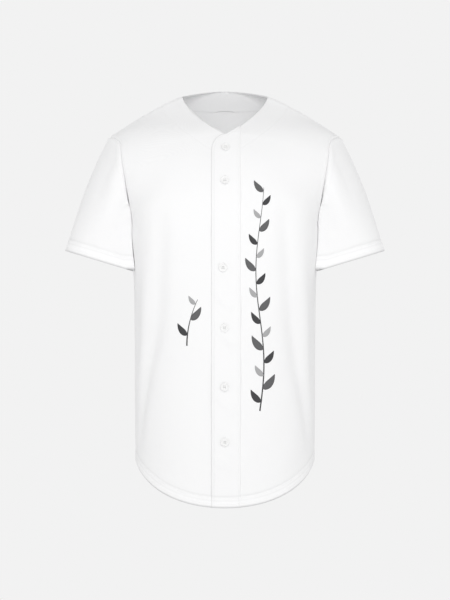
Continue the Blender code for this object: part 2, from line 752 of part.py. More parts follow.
def hole_cutter(group):
    """Four round cutters in a square, joined in one mesh."""
    shell = bmesh.new()
    for x in (-BUTTON_HOLE_OFFSET, BUTTON_HOLE_OFFSET):
        for y in (-BUTTON_HOLE_OFFSET, BUTTON_HOLE_OFFSET):
            bmesh.ops.create_cone(
                shell, cap_ends=True, segments=BUTTON_HOLE_SIDES, radius1=BUTTON_HOLE_RADIUS,
                radius2=BUTTON_HOLE_RADIUS, depth=BUTTON_THICKNESS * 4, matrix=Matrix.Translation((x, y, 0.0)))
    mesh = bpy.data.meshes.new("button_holes")
    shell.to_mesh(mesh)
    shell.free()
    cutter = bpy.data.objects.new("button_holes", mesh)
    cutter.hide_render = True
    cutter.display_type = "WIRE"
    group.objects.link(cutter)
    return cutter


def place_on_placket(placket, x, z):
    """A point and the outward direction on the placket's outer face."""
    points, normals = placket
    middle = PLACKET_COLUMNS // 2
    rows = points[:, :, 2]
    i = int(np.clip(np.searchsorted(rows[:, middle], z) - 1, 0, len(rows) - 2))
    share = (z - rows[i, middle]) / (rows[i + 1, middle] - rows[i, middle])
    low = [float(np.interp(x, points[i, :, 0], points[i, :, k])) for k in range(3)]
    high = [float(np.interp(x, points[i + 1, :, 0], points[i + 1, :, k])) for k in range(3)]
    place = Vector(low).lerp(Vector(high), share)
    facing = Vector(normals[i, middle]).lerp(Vector(normals[i + 1, middle]), share).normalized()
    facing.x = 0.0
    return place, facing.normalized()


def cut_button(group, cutter):
    """The button's mesh: turned round its axis, with the four holes cut through."""
    blank = bpy.data.objects.new("button_blank", button_mesh())
    group.objects.link(blank)
    turn = blank.modifiers.new("turn", "SCREW")
    turn.steps = BUTTON_STEPS
    turn.render_steps = BUTTON_STEPS
    turn.use_merge_vertices = True
    turn.merge_threshold = 0.00001
    turn.use_smooth_shade = True
    holes = blank.modifiers.new("holes", "BOOLEAN")
    holes.object = cutter
    depsgraph = bpy.context.evaluated_depsgraph_get()
    mesh = bpy.data.meshes.new_from_object(blank.evaluated_get(depsgraph))
    bpy.data.objects.remove(blank, do_unlink=True)
    return mesh


def make_buttons(placket, group, cutters, material):
    """Six buttons down the placket, each leaning a little to one side on its thread."""
    mesh = cut_button(group, hole_cutter(cutters))
    mesh.materials.clear()
    mesh.materials.append(material)
    for count, row in enumerate(BUTTONS, start=1):
        button = bpy.data.objects.new(f"button_{count}", mesh)
        group.objects.link(button)
        place, facing = place_on_placket(placket, row.x, row.z)
        flat = facing.to_track_quat("Z", "Y").to_matrix()
        lean = Matrix.Rotation(BUTTON_LEAN, 3, "Z")
        clear = LAID_GAP + BUTTON_RADIUS * math.sin(BUTTON_LEAN)
        turned = (lean @ flat).to_4x4()
        turned.translation = place + facing * clear
        button.matrix_world = turned


def main():
    clear_scene()
    group = make_collection("baseball_jersey")
    cutters = make_collection("cutters")
    cloth = make_material("white_cloth", CLOTH_WHITE)
    facing_cloth = make_material("facing_cloth", FACING_WHITE)
    plastic = make_material("button_plastic", BUTTON_WHITE)

    left = body_grid(-1.0, LOWER_ROWS, FRONT_COLUMNS, left_start, LEFT_FRONT_FOLDS)
    right = body_grid(-1.0, LOWER_ROWS, FRONT_COLUMNS, right_start, RIGHT_FRONT_FOLDS)
    back = body_grid(1.0, BACK_LOWER_ROWS, BACK_COLUMNS, back_start, BACK_FOLDS)
    sleeve = sleeve_grid(SLEEVE_FOLDS)
    join_armhole(left, back, sleeve)
    join_shoulder(left, back)
    right[1][LOWER_ROWS:, -1] = left[1][LOWER_ROWS:, -1]
    right[1][-1] = left[1][-1]

    left_layers = layers_of(left, WALL)
    right_layers = layers_of(right, WALL)
    trim_body(left_layers, LOWER_ROWS)
    trim_body(right_layers, LOWER_ROWS)
    wall("front_left", *left_layers, everywhere, group, cloth)
    wall("front_right", mirrored(right_layers[0]), mirrored(right_layers[1]), everywhere, group, cloth)

    back_layers = layers_of(back, WALL)
    trim_body(back_layers, BACK_LOWER_ROWS)
    whole_back = [np.concatenate([mirrored(layer)[:, ::-1], layer], axis=1) for layer in back_layers]
    wall("back", *whole_back, lambda i, j: j != BACK_COLUMNS, group, cloth)

    sleeve_layers = layers_of(sleeve, WALL)
    for layer in sleeve_layers:
        layer[0] += np.array(ARMHOLE_OUT) * SEAM_GAP / 2
    wall("sleeve_left", *sleeve_layers, everywhere, group, cloth, around=True)
    wall("sleeve_right", mirrored(sleeve_layers[0]), mirrored(sleeve_layers[1]), everywhere, group, cloth,
         around=True)

    placket = placket_grid()
    placket_outer = placket[0] + placket[1] * PLACKET_WALL
    wall("placket", placket_outer, placket[0], everywhere, group, cloth)

    facing = facing_layers()
    whole_facing = [np.concatenate([mirrored(layer)[:, ::-1], layer], axis=1) for layer in facing]
    wall("neck_facing", *whole_facing, lambda i, j: j != FACING_COLUMNS, group, facing_cloth)

    make_buttons((placket_outer, placket[1]), group, cutters, plastic)


main()
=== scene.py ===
"""Baseball jersey: its cloth, stitches, buttons, print and stage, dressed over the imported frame.

Metres, +Z up. The front of the jersey faces -Y and the wearer's left is +X. Each cloth panel is a grid
laid on the same curves that its solid was drawn from: rows run outwards from the middle of the body, or
from the neckline, to the side seam, or to the armhole. Seams, hems, folds and puckers are heights added
to that grid, read from the distance to the edges that make them.
"""

import functools
import math
from collections import namedtuple

import bmesh
import bpy
import numpy as np
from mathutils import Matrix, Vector
from mathutils.bvhtree import BVHTree


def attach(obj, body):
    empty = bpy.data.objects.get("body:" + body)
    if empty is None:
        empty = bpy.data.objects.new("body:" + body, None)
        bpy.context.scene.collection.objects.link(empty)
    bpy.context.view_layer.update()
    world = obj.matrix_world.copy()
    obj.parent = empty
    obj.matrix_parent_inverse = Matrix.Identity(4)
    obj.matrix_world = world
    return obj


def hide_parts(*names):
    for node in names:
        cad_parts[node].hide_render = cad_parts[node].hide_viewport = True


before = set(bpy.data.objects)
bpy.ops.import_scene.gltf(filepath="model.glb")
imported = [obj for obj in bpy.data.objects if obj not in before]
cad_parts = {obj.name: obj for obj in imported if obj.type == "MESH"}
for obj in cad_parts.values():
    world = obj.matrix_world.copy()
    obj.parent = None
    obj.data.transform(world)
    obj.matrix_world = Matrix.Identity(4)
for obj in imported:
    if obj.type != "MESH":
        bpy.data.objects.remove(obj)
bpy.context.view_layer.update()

bl_info = {
    "name": "Baseball jersey",
    "version": (1, 0, 0),
    "blender": (4, 5, 0),
    "location": "3D View > Sidebar > Jersey",
    "description": "Makes a button-front jersey in white knit, filled out as if worn, with its stage",
    "category": "Add Mesh",
}

# Levels and points of the body's cut
HEM_SIDE_Z = -0.678
HEM_SIDE_ROUND = 0.15
HEM_CURVE = 1.2
HEM_MIDDLE_Z = {-1.0: -0.7680, 1.0: -0.7660}
ARMPIT_Z = -0.2486
CHEST_Z = -0.2550
NECK_MIDDLE = {-1.0: (0.0, -0.0900, -0.0778), 1.0: (0.0, 0.0640, 0.0166)}
NECK_POINT = (0.0815, 0.0050, 0.0)
NECK_HANDLES = {
    -1.0: ((0.032, -0.0800, -0.0605), (0.070, -0.0300, -0.0330)),
    1.0: ((0.040, 0.0640, 0.0166), (0.0755, 0.0340, 0.0070)),
}
BACK_FULLNESS = 0.60

# Level of the side seam, its distance from the middle, where the front's and the back's middles stand,
# and how square the front's section is
BODY = np.array([
    (-0.780, 0.1685, -0.1300, 0.1180, 0.60),
    (-0.686, 0.1688, -0.1310, 0.1160, 0.60),
    (-0.600, 0.1702, -0.1330, 0.1120, 0.60),
    (-0.450, 0.1708, -0.1380, 0.1060, 0.62),
    (-0.333, 0.1730, -0.1450, 0.1130, 0.73),
    (-0.245, 0.1790, -0.1485, 0.1250, 0.77),
    (-0.180, 0.1790, -0.1400, 0.1275, 0.77),
    (-0.120, 0.1790, -0.1150, 0.1200, 0.77),
    (-0.0778, 0.1790, -0.0900, 0.1085, 0.77),
    (-0.030, 0.1790, -0.0600, 0.0890, 0.77),
    (0.0166, 0.1790, -0.0300, 0.0640, 0.77),
])

# Armhole: an oval in a leaning plane, drawn in between its top and the armpit
ARMHOLE_CENTRE = np.array((0.1990, 0.0030, -0.1630))
ARMHOLE_UP = np.array((0.2305, 0.0, 0.9731))
ARMHOLE_OUT = np.array((0.9731, 0.0, -0.2305))
ARMHOLE_HALF_HEIGHT = 0.0880
ARMHOLE_DEPTH = {-1.0: 0.0740, 1.0: 0.0720}
# Angle from the top, and how far the armhole is drawn in on the front and on the back
SCOOPS = np.array([
    (0.0, 0.0, 0.0),
    (18.0, 0.0100, 0.0050),
    (35.0, 0.0175, 0.0090),
    (61.0, 0.0150, 0.0100),
    (90.0, 0.0123, 0.0090),
    (119.0, 0.0090, 0.0070),
    (150.0, 0.0040, 0.0030),
    (180.0, 0.0, 0.0),
])

# Rows from the armpit, station 0, past the middle of the neckline, 1, to the shoulder seam, 2: the
# armhole's angle where the row ends, and the two handles of its curve
UPPER = {
    -1.0: np.array([
        (0.0, 180.0, 0.1378, 0.000, 0.000, 0.000, -0.1143, 0.000),
        (0.35, 143.0, 0.1240, 0.000, 0.000, -0.014, -0.0850, 0.003),
        (0.70, 104.0, 0.0960, 0.000, 0.000, -0.038, -0.0530, 0.010),
        (1.0, 69.0, 0.0660, 0.004, -0.003, -0.053, -0.0330, 0.021),
        (1.5, 32.0, 0.0520, 0.002, -0.012, -0.050, -0.0140, 0.030),
        (2.0, 0.0, 0.0460, 0.000, -0.019, -0.046, 0.0000, 0.0325),
    ]),
    1.0: np.array([
        (0.0, 180.0, 0.1074, 0.000, 0.000, 0.000, 0.0750, 0.000),
        (0.30, 146.0, 0.1060, 0.000, 0.000, -0.020, 0.0580, 0.003),
        (0.65, 102.0, 0.0980, 0.000, 0.000, -0.042, 0.0480, 0.012),
        (1.0, 58.0, 0.0640, 0.004, -0.004, -0.054, 0.0240, 0.026),
        (1.5, 28.0, 0.0520, 0.003, -0.012, -0.050, 0.0110, 0.031),
        (2.0, 0.0, 0.0460, 0.000, -0.019, -0.046, 0.0000, 0.0325),
    ]),
}

# Sleeve: the cuff is an oval across the sleeve's axis. Its lines leave the armhole and arrive at the
# cuff in these directions: angle, out, depth, down, handle length, arrive out, arrive down.
CUFF_CENTRE = np.array((0.2392, 0.0, -0.3122))
CUFF_ACROSS = np.array((0.9573, 0.0, 0.2890))
CUFF_HALF_WIDTH = 0.0665
CUFF_HALF_DEPTH = 0.0590
CUFF_HANDLE = 0.060
# Section of the cuff, as shares of its half width and half depth: it lies round the body's side
CUFF_SECTION = np.array([
    (0.0, 1.0, 0.0),
    (15.0, 0.966, 0.259),
    (30.0, 0.866, 0.500),
    (45.0, 0.707, 0.707),
    (60.0, 0.500, 0.866),
    (75.0, 0.259, 0.966),
    (90.0, 0.0, 1.0),
    (105.0, -0.290, 0.995),
    (120.0, -0.600, 0.965),
    (135.0, -0.900, 0.930),
    (146.0, -1.015, 0.850),
    (155.0, -1.040, 0.700),
    (163.0, -1.025, 0.490),
    (172.0, -1.005, 0.240),
    (180.0, -1.0, 0.0),
])
SLEEVE_LINES = np.array([
    (0.0, 0.53, 0.0, -0.848, 0.072, 0.289, -0.957),
    (45.0, 0.55, 0.16, -0.820, 0.060, 0.270, -0.962),
    (90.0, 0.46, 0.26, -0.850, 0.046, 0.200, -0.980),
    (120.0, 0.26, 0.30, -0.920, 0.040, 0.110, -0.994),
    (140.0, 0.21, 0.24, -0.950, 0.034, 0.040, -0.999),
    (160.0, 0.26, 0.07, -0.970, 0.028, -0.020, -0.999),
    (180.0, 0.12, 0.0, -1.000, 0.024, -0.050, -0.999),
])

# Soft folds of the panels: a level, how far round from the middle the fold runs there, its depth and
# its width. A negative depth is a ridge.
LEFT_FRONT_FOLDS = [
    [(-0.680, 0.1900, 0.0, 0.016), (-0.610, 0.1780, 0.0035, 0.016), (-0.540, 0.1560, 0.0050, 0.017),
     (-0.440, 0.1320, 0.0060, 0.018), (-0.330, 0.1200, 0.0055, 0.017), (-0.250, 0.1140, 0.0045, 0.017),
     (-0.200, 0.1120, 0.0, 0.016)],
    [(-0.600, 0.2000, 0.0, 0.014), (-0.500, 0.1760, -0.0035, 0.016), (-0.360, 0.1600, -0.0035, 0.016),
     (-0.280, 0.1560, 0.0, 0.014)],
]
RIGHT_FRONT_FOLDS = [
    [(-0.680, 0.2020, 0.0, 0.016), (-0.600, 0.1860, 0.0040, 0.016), (-0.520, 0.1620, 0.0055, 0.017),
     (-0.440, 0.1360, 0.0060, 0.018), (-0.330, 0.1240, 0.0055, 0.017), (-0.250, 0.1200, 0.0040, 0.017),
     (-0.200, 0.1180, 0.0, 0.016)],
    [(-0.580, 0.2040, 0.0, 0.014), (-0.480, 0.1780, -0.0040, 0.016), (-0.380, 0.1640, -0.0035, 0.016),
     (-0.300, 0.1600, 0.0, 0.014)],
]
BACK_FOLDS = [
    [(-0.700, 0.1320, 0.0, 0.020), (-0.600, 0.1240, 0.0050, 0.022), (-0.450, 0.1160, 0.0065, 0.022),
     (-0.300, 0.1200, 0.0050, 0.020), (-0.180, 0.1180, 0.0, 0.018)],
    [(-0.680, 0.1720, 0.0, 0.016), (-0.600, 0.1680, -0.0030, 0.018), (-0.440, 0.1600, -0.0045, 0.018),
     (-0.300, 0.1600, 0.0, 0.016)],
]

# Folds of a sleeve: how far round from the top in degrees, how far down they start and end, their
# depth, and their width in degrees
SLEEVE_FOLDS = [
    (52.0, 0.04, 0.62, 0.0024, 13.0),
    (84.0, 0.02, 0.75, -0.0021, 14.0),
    (112.0, 0.10, 0.80, 0.0021, 13.0),
    (-56.0, 0.04, 0.66, 0.0024, 14.0),
    (-92.0, 0.06, 0.72, -0.0021, 15.0),
    (-122.0, 0.10, 0.78, 0.0018, 13.0),
]

# Front edge: the left front laps over the right one
STAND_EDGE_X = 0.0240
STAND_ROUND = 0.026
LEFT_EDGE_X = 0.0245
PLACKET_EDGE_X = -0.0252
PLACKET_SEAM_X = 0.0300
PLACKET_ROUND = 0.030
PLACKET_LIFT = 0.0018

# Slanting puckers that lift the placket: middle x and z, half length, slope, height and width
PUCKERS = [
    (-0.004, -0.385, 0.030, -1.15, 0.0024, 0.008),
    (0.003, -0.455, 0.030, -0.85, 0.0027, 0.008),
    (0.004, -0.580, 0.028, -1.05, 0.0024, 0.008),
    (-0.002, -0.690, 0.026, -0.60, 0.0021, 0.009),
]

# How far the facing inside the back neck reaches below its row, and from the neckline
FACING_STATION = 0.866
FACING_DEPTH = 0.0435
FACING_CLEAR = 0.0012

# How far the stitches run from the edges that they hold, and the gap between two of them
HEM_STITCH_INSET = 0.0020
HEM_EDGE_STITCH = 0.0070
EDGE_STITCH = 0.0052
PLACKET_SEAM_STITCH = 0.0056
NECK_STITCH = 0.0062
STITCH_GAP = 0.0007

# How far from the neckline the facing's line shows on the outside
FACING_LINE = 0.0428

# Buttons
BUTTON_DISH = 0.0009
BUTTON_HOLE_OFFSET = 0.0015
BUTTONHOLE_HALF_WIDTH = 0.0009

# The middle lines of the printed stems, in x and z: a tall one and a sprig
STEM_SHARES = np.linspace(0.0, 1.0, 61)
STEMS = (
    np.stack([0.0640 + 0.0075 * np.sin(STEM_SHARES * 7.5), -0.590 + 0.410 * STEM_SHARES], axis=-1),
    np.stack([-0.0700 + 0.0200 * STEM_SHARES ** 2, -0.470 + 0.085 * STEM_SHARES], axis=-1),
)

BUTTON_NODES = [f"button_{count}" for count in range(1, 7)]


def scene_place():
    """The collection that the jersey's pieces and its stage go in."""
    return bpy.context.scene.collection


def spline(knots, values, at):
    """A smooth curve through values at rising knots, read at one or more places."""
    knots = np.asarray(knots, float)
    values = np.asarray(values, float)
    slopes = np.gradient(values, knots)
    at = np.clip(np.asarray(at, float), knots[0], knots[-1])
    i = np.clip(np.searchsorted(knots, at) - 1, 0, len(knots) - 2)
    step = knots[i + 1] - knots[i]
    s = (at - knots[i]) / step
    start = (2 * s**3 - 3 * s**2 + 1) * values[i] + (s**3 - 2 * s**2 + s) * step * slopes[i]
    end = (3 * s**2 - 2 * s**3) * values[i + 1] + (s**3 - s**2) * step * slopes[i + 1]
    return start + end


def smooth_step(low, high, value):
    """0 below low, 1 above high, and a soft rise between."""
    share = np.clip((value - low) / (high - low), 0.0, 1.0)
    return share * share * (3.0 - 2.0 * share)


def unit(vectors):
    """Vectors of length 1."""
    return vectors / np.maximum(np.linalg.norm(vectors, axis=-1, keepdims=True), 1e-9)


def bezier(curves, t):
    """Points of cubic curves. Curves is (rows, 4, 3) and t is (rows, points)."""
    s = 1.0 - t
    weights = np.stack([s**3, 3 * s * s * t, 3 * s * t * t, t**3], axis=-1)
    return np.einsum("rck,rkd->rcd", weights, curves)


def parameters_at_x(curves, x):
    """Where each row reaches a distance from the middle."""
    places = np.linspace(0.0, 1.0, 161)
    across = bezier(curves, np.broadcast_to(places, (len(curves), len(places))))[..., 0]
    return np.array([np.interp(x, row, places) for row in across])


def armhole_points(angles, side_y):
    """Points of the left armhole. Side_y is -1 on the front and 1 on the back."""
    turn = np.radians(angles)[:, None]
    scoop = spline(SCOOPS[:, 0], SCOOPS[:, 1 if side_y < 0 else 2], angles)[:, None]
    points = ARMHOLE_CENTRE + ARMHOLE_UP * ARMHOLE_HALF_HEIGHT * np.cos(turn)
    points = points + np.array((0.0, side_y * ARMHOLE_DEPTH[side_y], 0.0)) * np.sin(turn)
    return points - ARMHOLE_OUT * scoop


def lower_curves(shares, side_y):
    """Rows between the hem, share 0, and the armpit, share 1."""
    side_z = HEM_SIDE_Z + (ARMPIT_Z - HEM_SIDE_Z) * shares
    middle_z = HEM_MIDDLE_Z[side_y] + (CHEST_Z - HEM_MIDDLE_Z[side_y]) * shares
    zero = np.zeros_like(shares)
    outer = np.stack([spline(BODY[:, 0], BODY[:, 1], side_z), zero, side_z], axis=-1)
    outer[shares >= 1.0] = armhole_points(np.array([180.0]), side_y)
    middle_y = spline(BODY[:, 0], BODY[:, 2 if side_y < 0 else 3], middle_z)
    middle = np.stack([zero, middle_y, middle_z], axis=-1)
    fullness = spline(BODY[:, 0], BODY[:, 4], side_z) if side_y < 0 else zero + BACK_FULLNESS
    leave = middle + np.stack([outer[:, 0], zero, zero], axis=-1) * fullness[:, None]
    rise = (middle - outer) * np.array((0.0, 1.0, 1.0)) * fullness[:, None]
    return np.stack([middle, leave, outer + rise, outer], axis=1)


def upper_curves(stations, side_y):
    """Rows between the armpit, station 0, and the shoulder seam, station 2."""
    table = UPPER[side_y]
    z = CHEST_Z + (NECK_MIDDLE[side_y][2] - CHEST_Z) * np.minimum(stations, 1.0)
    y = spline(BODY[:, 0], BODY[:, 2 if side_y < 0 else 3], z)
    middle = np.stack([np.zeros_like(z), y, z], axis=-1)
    above = stations > 1.0
    middle[above] = neckline(side_y, stations[above] - 1.0)
    leave, reach = [
        np.stack([spline(table[:, 0], table[:, k], stations) for k in columns], axis=-1)
        for columns in ((2, 3, 4), (5, 6, 7))]
    outer = armhole_points(spline(table[:, 0], table[:, 1], stations), side_y)
    return np.stack([middle, middle + leave, outer + reach, outer], axis=1)


def neckline(side_y, t):
    """Points of the left half of the front or back neckline."""
    curve = np.array([NECK_MIDDLE[side_y], *NECK_HANDLES[side_y], NECK_POINT])
    return bezier(curve[None], np.asarray(t, float)[None])[0]


def spread(first, last, step, dense):
    """Places from first to last, a step apart, and closer at the ends as dense says."""
    start, end = dense
    low = [first + gap for gap in start]
    high = [last - gap for gap in reversed(end)]
    count = max(2, int(round((high[0] - low[-1]) / step)))
    return np.array(low[:-1] + list(np.linspace(low[-1], high[0], count + 1)) + high[1:])


# Distances between the first rows at a plain edge, at a seam and at a hem, as shares of a panel
SEAM_ROWS = (0.0, 0.0025, 0.006, 0.011, 0.017, 0.025)
HEM_ROWS = tuple(np.array([
    0.0, 0.8, 1.8, 3.0, 4.2, 5.4, 6.6, 7.8, 9.0, 10.5, 12.0, 13.5, 15.0, 16.2, 17.4, 18.4, 19.4, 20.4,
    21.6, 23.0, 25.0, 27.5]) / 470.0)
COLUMN_PLACES = spread(0.0, 1.0, 0.0150, (SEAM_ROWS, SEAM_ROWS))
LOWER_SHARES = spread(0.0, 1.0, 0.0095, (HEM_ROWS, (0.0,)))


def upper_stations(side_y):
    """Rows above the armpit, closer towards the neckline's middle, the neck point and the shoulder."""
    count = 50
    below = 1.0 - (1.0 - np.arange(1, count + 1) / count) ** 1.30
    above = spread(0.0, 1.0, 0.0260, ((0.0, 0.008, 0.020), (0.0, 0.006, 0.014, 0.026, 0.042)))[1:]
    if side_y > 0:
        return np.concatenate([below, 1.0 + above])
    curve = np.array([[NECK_MIDDLE[side_y], *NECK_HANDLES[side_y], NECK_POINT]])
    edges = [parameters_at_x(curve, x)[0] for x in (LEFT_EDGE_X, PLACKET_SEAM_X)]
    above = np.unique(np.concatenate([above[np.abs(above[:, None] - edges).min(axis=1) > 0.004], edges]))
    return np.concatenate([below, 1.0 + above])


def panel_curves(side_y):
    """Every row of the front or back, and how many of them lie below the armpit's row."""
    lower = lower_curves(LOWER_SHARES, side_y)
    return np.concatenate([lower, upper_curves(upper_stations(side_y), side_y)]), len(lower) - 1


def row_points(curves, starts, places):
    """Points of rows from a distance out to their ends. What lies past the middle has its own columns."""
    begin = np.empty(len(curves))
    for k, start in enumerate(starts):
        found = parameters_at_x(curves[k:k + 1], abs(start))[0]
        begin[k] = -found if start < 0.0 else found
    first = np.maximum(begin, 0.0)[:, None]
    t = first + (1.0 - first) * places
    if starts.min() < 0.0:
        t = np.concatenate([np.minimum(begin, 0.0)[:, None] * STAND_PLACES, t], axis=1)
    points = bezier(curves, np.abs(t))
    points[..., 0] *= np.where(t < 0.0, -1.0, 1.0)
    return points


def round_hem(points, curves, lower_rows):
    """Lower the rows towards the side seam, so that the hem runs round it without a peak."""
    middle = curves[:lower_rows, 0]
    outer = curves[:lower_rows, 3]
    share = np.abs((points[:lower_rows, :, 1] - outer[:, 1:2]) / (middle[:, 1:2] - outer[:, 1:2]))
    level = math.hypot(1.0, HEM_SIDE_ROUND) - 1.0
    drop = np.hypot(share**HEM_CURVE, HEM_SIDE_ROUND) - share - level
    points[:lower_rows, :, 2] += (middle[:, 2:] - outer[:, 2:]) * drop


def ease_rows(points, row, reach):
    """Smooth a panel's rows on both sides of one row, where two kinds of curve meet."""
    rows = np.arange(len(points))
    weight = 0.5 * np.clip(1.0 - np.abs(rows - row) / reach, 0.0, 1.0)[:, None, None]
    weight = weight * np.linspace(1.0, 0.0, points.shape[1])[None, :, None] ** 0.25
    for _ in range(60):
        middle = points.copy()
        middle[1:-1] = (points[:-2] + points[2:]) / 2
        points += (middle - points) * weight


def normals_of(points, toward, around=False):
    """Normals of a grid, turned to the side that toward gives. Around closes its columns."""
    up = np.gradient(points, axis=0)
    if around:
        across = np.roll(points, -1, axis=1) - np.roll(points, 1, axis=1)
    else:
        across = np.gradient(points, axis=1)
    found = unit(np.cross(up, across))
    return found * np.sign(np.sum(found * toward, axis=-1).mean())


def distance_to(points, line):
    """How far each point of a grid is from a line of points."""
    flat = points.reshape(-1, 3)
    best = np.full(len(flat), np.inf)
    for start, end in zip(line[:-1], line[1:]):
        run = end - start
        share = np.clip((flat - start) @ run / max(run @ run, 1e-12), 0.0, 1.0)
        best = np.minimum(best, ((flat - start - share[:, None] * run) ** 2).sum(axis=1))
    return np.sqrt(best).reshape(points.shape[:-1])


def bell(value, middle, width):
    """A soft bump of height 1 round a value."""
    return np.exp(-(((value - middle) / width) ** 2))


def fold_heights(points, folds):
    """How far a panel's folds move it outwards. They fade towards the side seam and the armhole."""
    steps = np.linalg.norm(np.diff(points, axis=1), axis=-1)
    first = points[:, :1, 0]
    along = np.concatenate([first, first + np.cumsum(steps, axis=1)], axis=1)
    along[points[..., 0] < 0.0] = 0.0
    z = points[..., 2]
    height = np.zeros(z.shape)
    for fold in folds:
        rows = np.array(fold)
        inside = (z > rows[0, 0]) & (z < rows[-1, 0])
        place, depth, width = [spline(rows[:, 0], rows[:, k], z) for k in (1, 2, 3)]
        height -= np.where(inside, depth * bell(along, place, width), 0.0)
    return height


def ripple(points, size, seed):
    """A soft uneven surface between -1 and 1, made of a few crossing waves."""
    random = np.random.default_rng(seed)
    total = np.zeros(points.shape[:-1])
    for _ in range(7):
        direction = unit(random.normal(size=3))
        length = size * random.uniform(0.6, 1.7)
        total += np.sin(points @ direction * (2 * math.pi / length) + random.uniform(0.0, 2 * math.pi))
    return total / 7.0


STAND_PLACES = np.array([1.0, 0.94, 0.80, 0.60, 0.40, 0.20])


class Panel:
    """A grid of cloth: its plain points, the directions it faces, and its heights."""

    def __init__(self, points, normals, around=False):
        self.points = points
        self.normals = normals
        self.around = around
        self.height = np.zeros(points.shape[:2])
        # Painted shade: how much darker the cloth is painted at its hems, seams, stitches and edges, where shade
        # falls
        self.painted_shade = np.zeros(points.shape[:2])
        self.double = np.zeros(points.shape[:2])

    def made(self, extra=0.0):
        """The finished points of the cloth's outer face."""
        return self.points + self.normals * (self.height + extra)[..., None]

    def mirrored(self):
        """The same panel on the wearer's other side."""
        turn = np.array((-1.0, 1.0, 1.0))
        twin = Panel(self.points * turn, self.normals * turn, self.around)
        twin.height = self.height.copy()
        twin.painted_shade = self.painted_shade.copy()
        twin.double = self.double.copy()
        return twin


def seam_profile(distance, sizes):
    """A sewn seam: the cloth rolls in at the join and stands up a little beside it."""
    groove = -sizes.seam_depth * bell(distance, 0.0, 0.0013)
    return groove + sizes.seam_depth * 0.55 * bell(distance, 0.0042, 0.0022)


def hem_profile(distance, band, sizes):
    """A turned hem: a double band that ends at its stitches, and a rolled lower edge."""
    double = sizes.hem_rise * (1.0 - smooth_step(band - 0.0005, band + 0.0016, distance))
    stitches = -0.00030 * (
        bell(distance, band - HEM_STITCH_INSET, 0.0010) + bell(distance, HEM_EDGE_STITCH, 0.0011))
    roll = -0.00110 * bell(distance, 0.0, 0.0011)
    return double + stitches + roll


def hem_painted_shade(distance, band):
    """How much painted shade a turned hem gets: at its edge, at its stitches and just above it."""
    edge = bell(distance, 0.0004, 0.0027)
    return edge + 0.20 * bell(distance, band - 0.0055, 0.0016) + 0.24 * bell(distance, band + 0.0024, 0.0018)


def layers_of(distance, band):
    """Where a turned hem or a facing makes the cloth double."""
    return 1.0 - smooth_step(band - 0.0006, band + 0.0010, distance)


def stand_starts(curves, middles):
    """Where the rows of the right front start: past the middle, rounded off under the neckline."""
    drop = np.maximum(0.0, NECK_MIDDLE[-1.0][2] - middles[:, 2])
    return np.where(middles[:, 0] > 1e-6, middles[:, 0],
                    -STAND_EDGE_X * np.minimum(1.0, (drop / STAND_ROUND) ** 0.6))


def body_panel(side_y, kind):
    """The plain grid of one half of the front or back, on the wearer's left."""
    curves, lower_rows = panel_curves(side_y)
    middles = curves[:, 0]
    if kind == "left":
        starts = np.maximum(LEFT_EDGE_X, middles[:, 0])
    elif kind == "right":
        starts = stand_starts(curves, middles)
    else:
        starts = middles[:, 0]
    points = row_points(curves, starts, COLUMN_PLACES)
    round_hem(points, curves, lower_rows)
    ease_rows(points, lower_rows, 9)
    normals = normals_of(points, np.array((0.35, side_y, 0.25)))
    on_middle = np.abs(points[:, 0, 0]) < 1e-6
    normals[on_middle, 0, 0] = 0.0
    return Panel(points, unit(normals)), lower_rows


def ring_angles():
    """Signed angles round the armhole, from the armpit up the front and down the back."""
    front = spline(UPPER[-1.0][:, 0], UPPER[-1.0][:, 1], upper_stations(-1.0))
    back = spline(UPPER[1.0][:, 0], UPPER[1.0][:, 1], upper_stations(1.0))
    return np.concatenate([[180.0], front, -back[:-1][::-1]])


def sleeve_curves(angles):
    """Lines of the sleeve, from the armhole to the cuff."""
    side = np.where(angles >= 0.0, -1.0, 1.0)
    size = np.abs(angles)
    across, deep = [spline(CUFF_SECTION[:, 0], CUFF_SECTION[:, k], size) for k in (1, 2)]
    start = np.where(side[:, None] < 0, armhole_points(size, -1.0), armhole_points(size, 1.0))
    out, depth, down, length, arrive_out, arrive_down = [
        spline(SLEEVE_LINES[:, 0], SLEEVE_LINES[:, k], size) for k in range(1, 7)]
    direction = unit(np.stack([out, side * depth, down], axis=-1))
    end = CUFF_CENTRE + CUFF_ACROSS * (CUFF_HALF_WIDTH * across)[:, None]
    end[:, 1] += side * CUFF_HALF_DEPTH * deep
    reach = np.minimum(CUFF_HANDLE, 0.45 * np.linalg.norm(end - start, axis=-1))
    handle = np.stack([arrive_out, np.zeros_like(out), arrive_down], axis=-1) * reach[:, None]
    return np.stack([start, start + direction * length[:, None], end - handle, end], axis=1)


CUFF_ROWS = tuple(np.array([
    0.0, 0.8, 1.8, 3.0, 4.2, 5.4, 6.6, 7.8, 9.2, 11.0, 13.0, 15.0, 17.0, 18.6, 19.8, 21.0, 22.2, 23.4,
    25.0, 27.0]) / 200.0)


def sleeve_panel():
    """The plain grid of the left sleeve: rows from the armhole to the cuff, columns around."""
    angles = ring_angles()
    shares = spread(0.0, 1.0, 0.0200, ((0.0, 0.005, 0.012, 0.021, 0.031), CUFF_ROWS))
    curves = sleeve_curves(angles)
    points = bezier(curves, np.broadcast_to(shares, (len(curves), len(shares)))).transpose(1, 0, 2)
    normals = normals_of(points, points - points.mean(axis=1, keepdims=True), around=True)
    sleeve = Panel(points, normals, around=True)
    for angle, start, end, depth, width in SLEEVE_FOLDS:
        swell = np.sin(math.pi * np.clip((shares - start) / (end - start), 0.0, 1.0))
        sleeve.height -= depth * swell[:, None] * bell(angles, angle, width)
    return sleeve


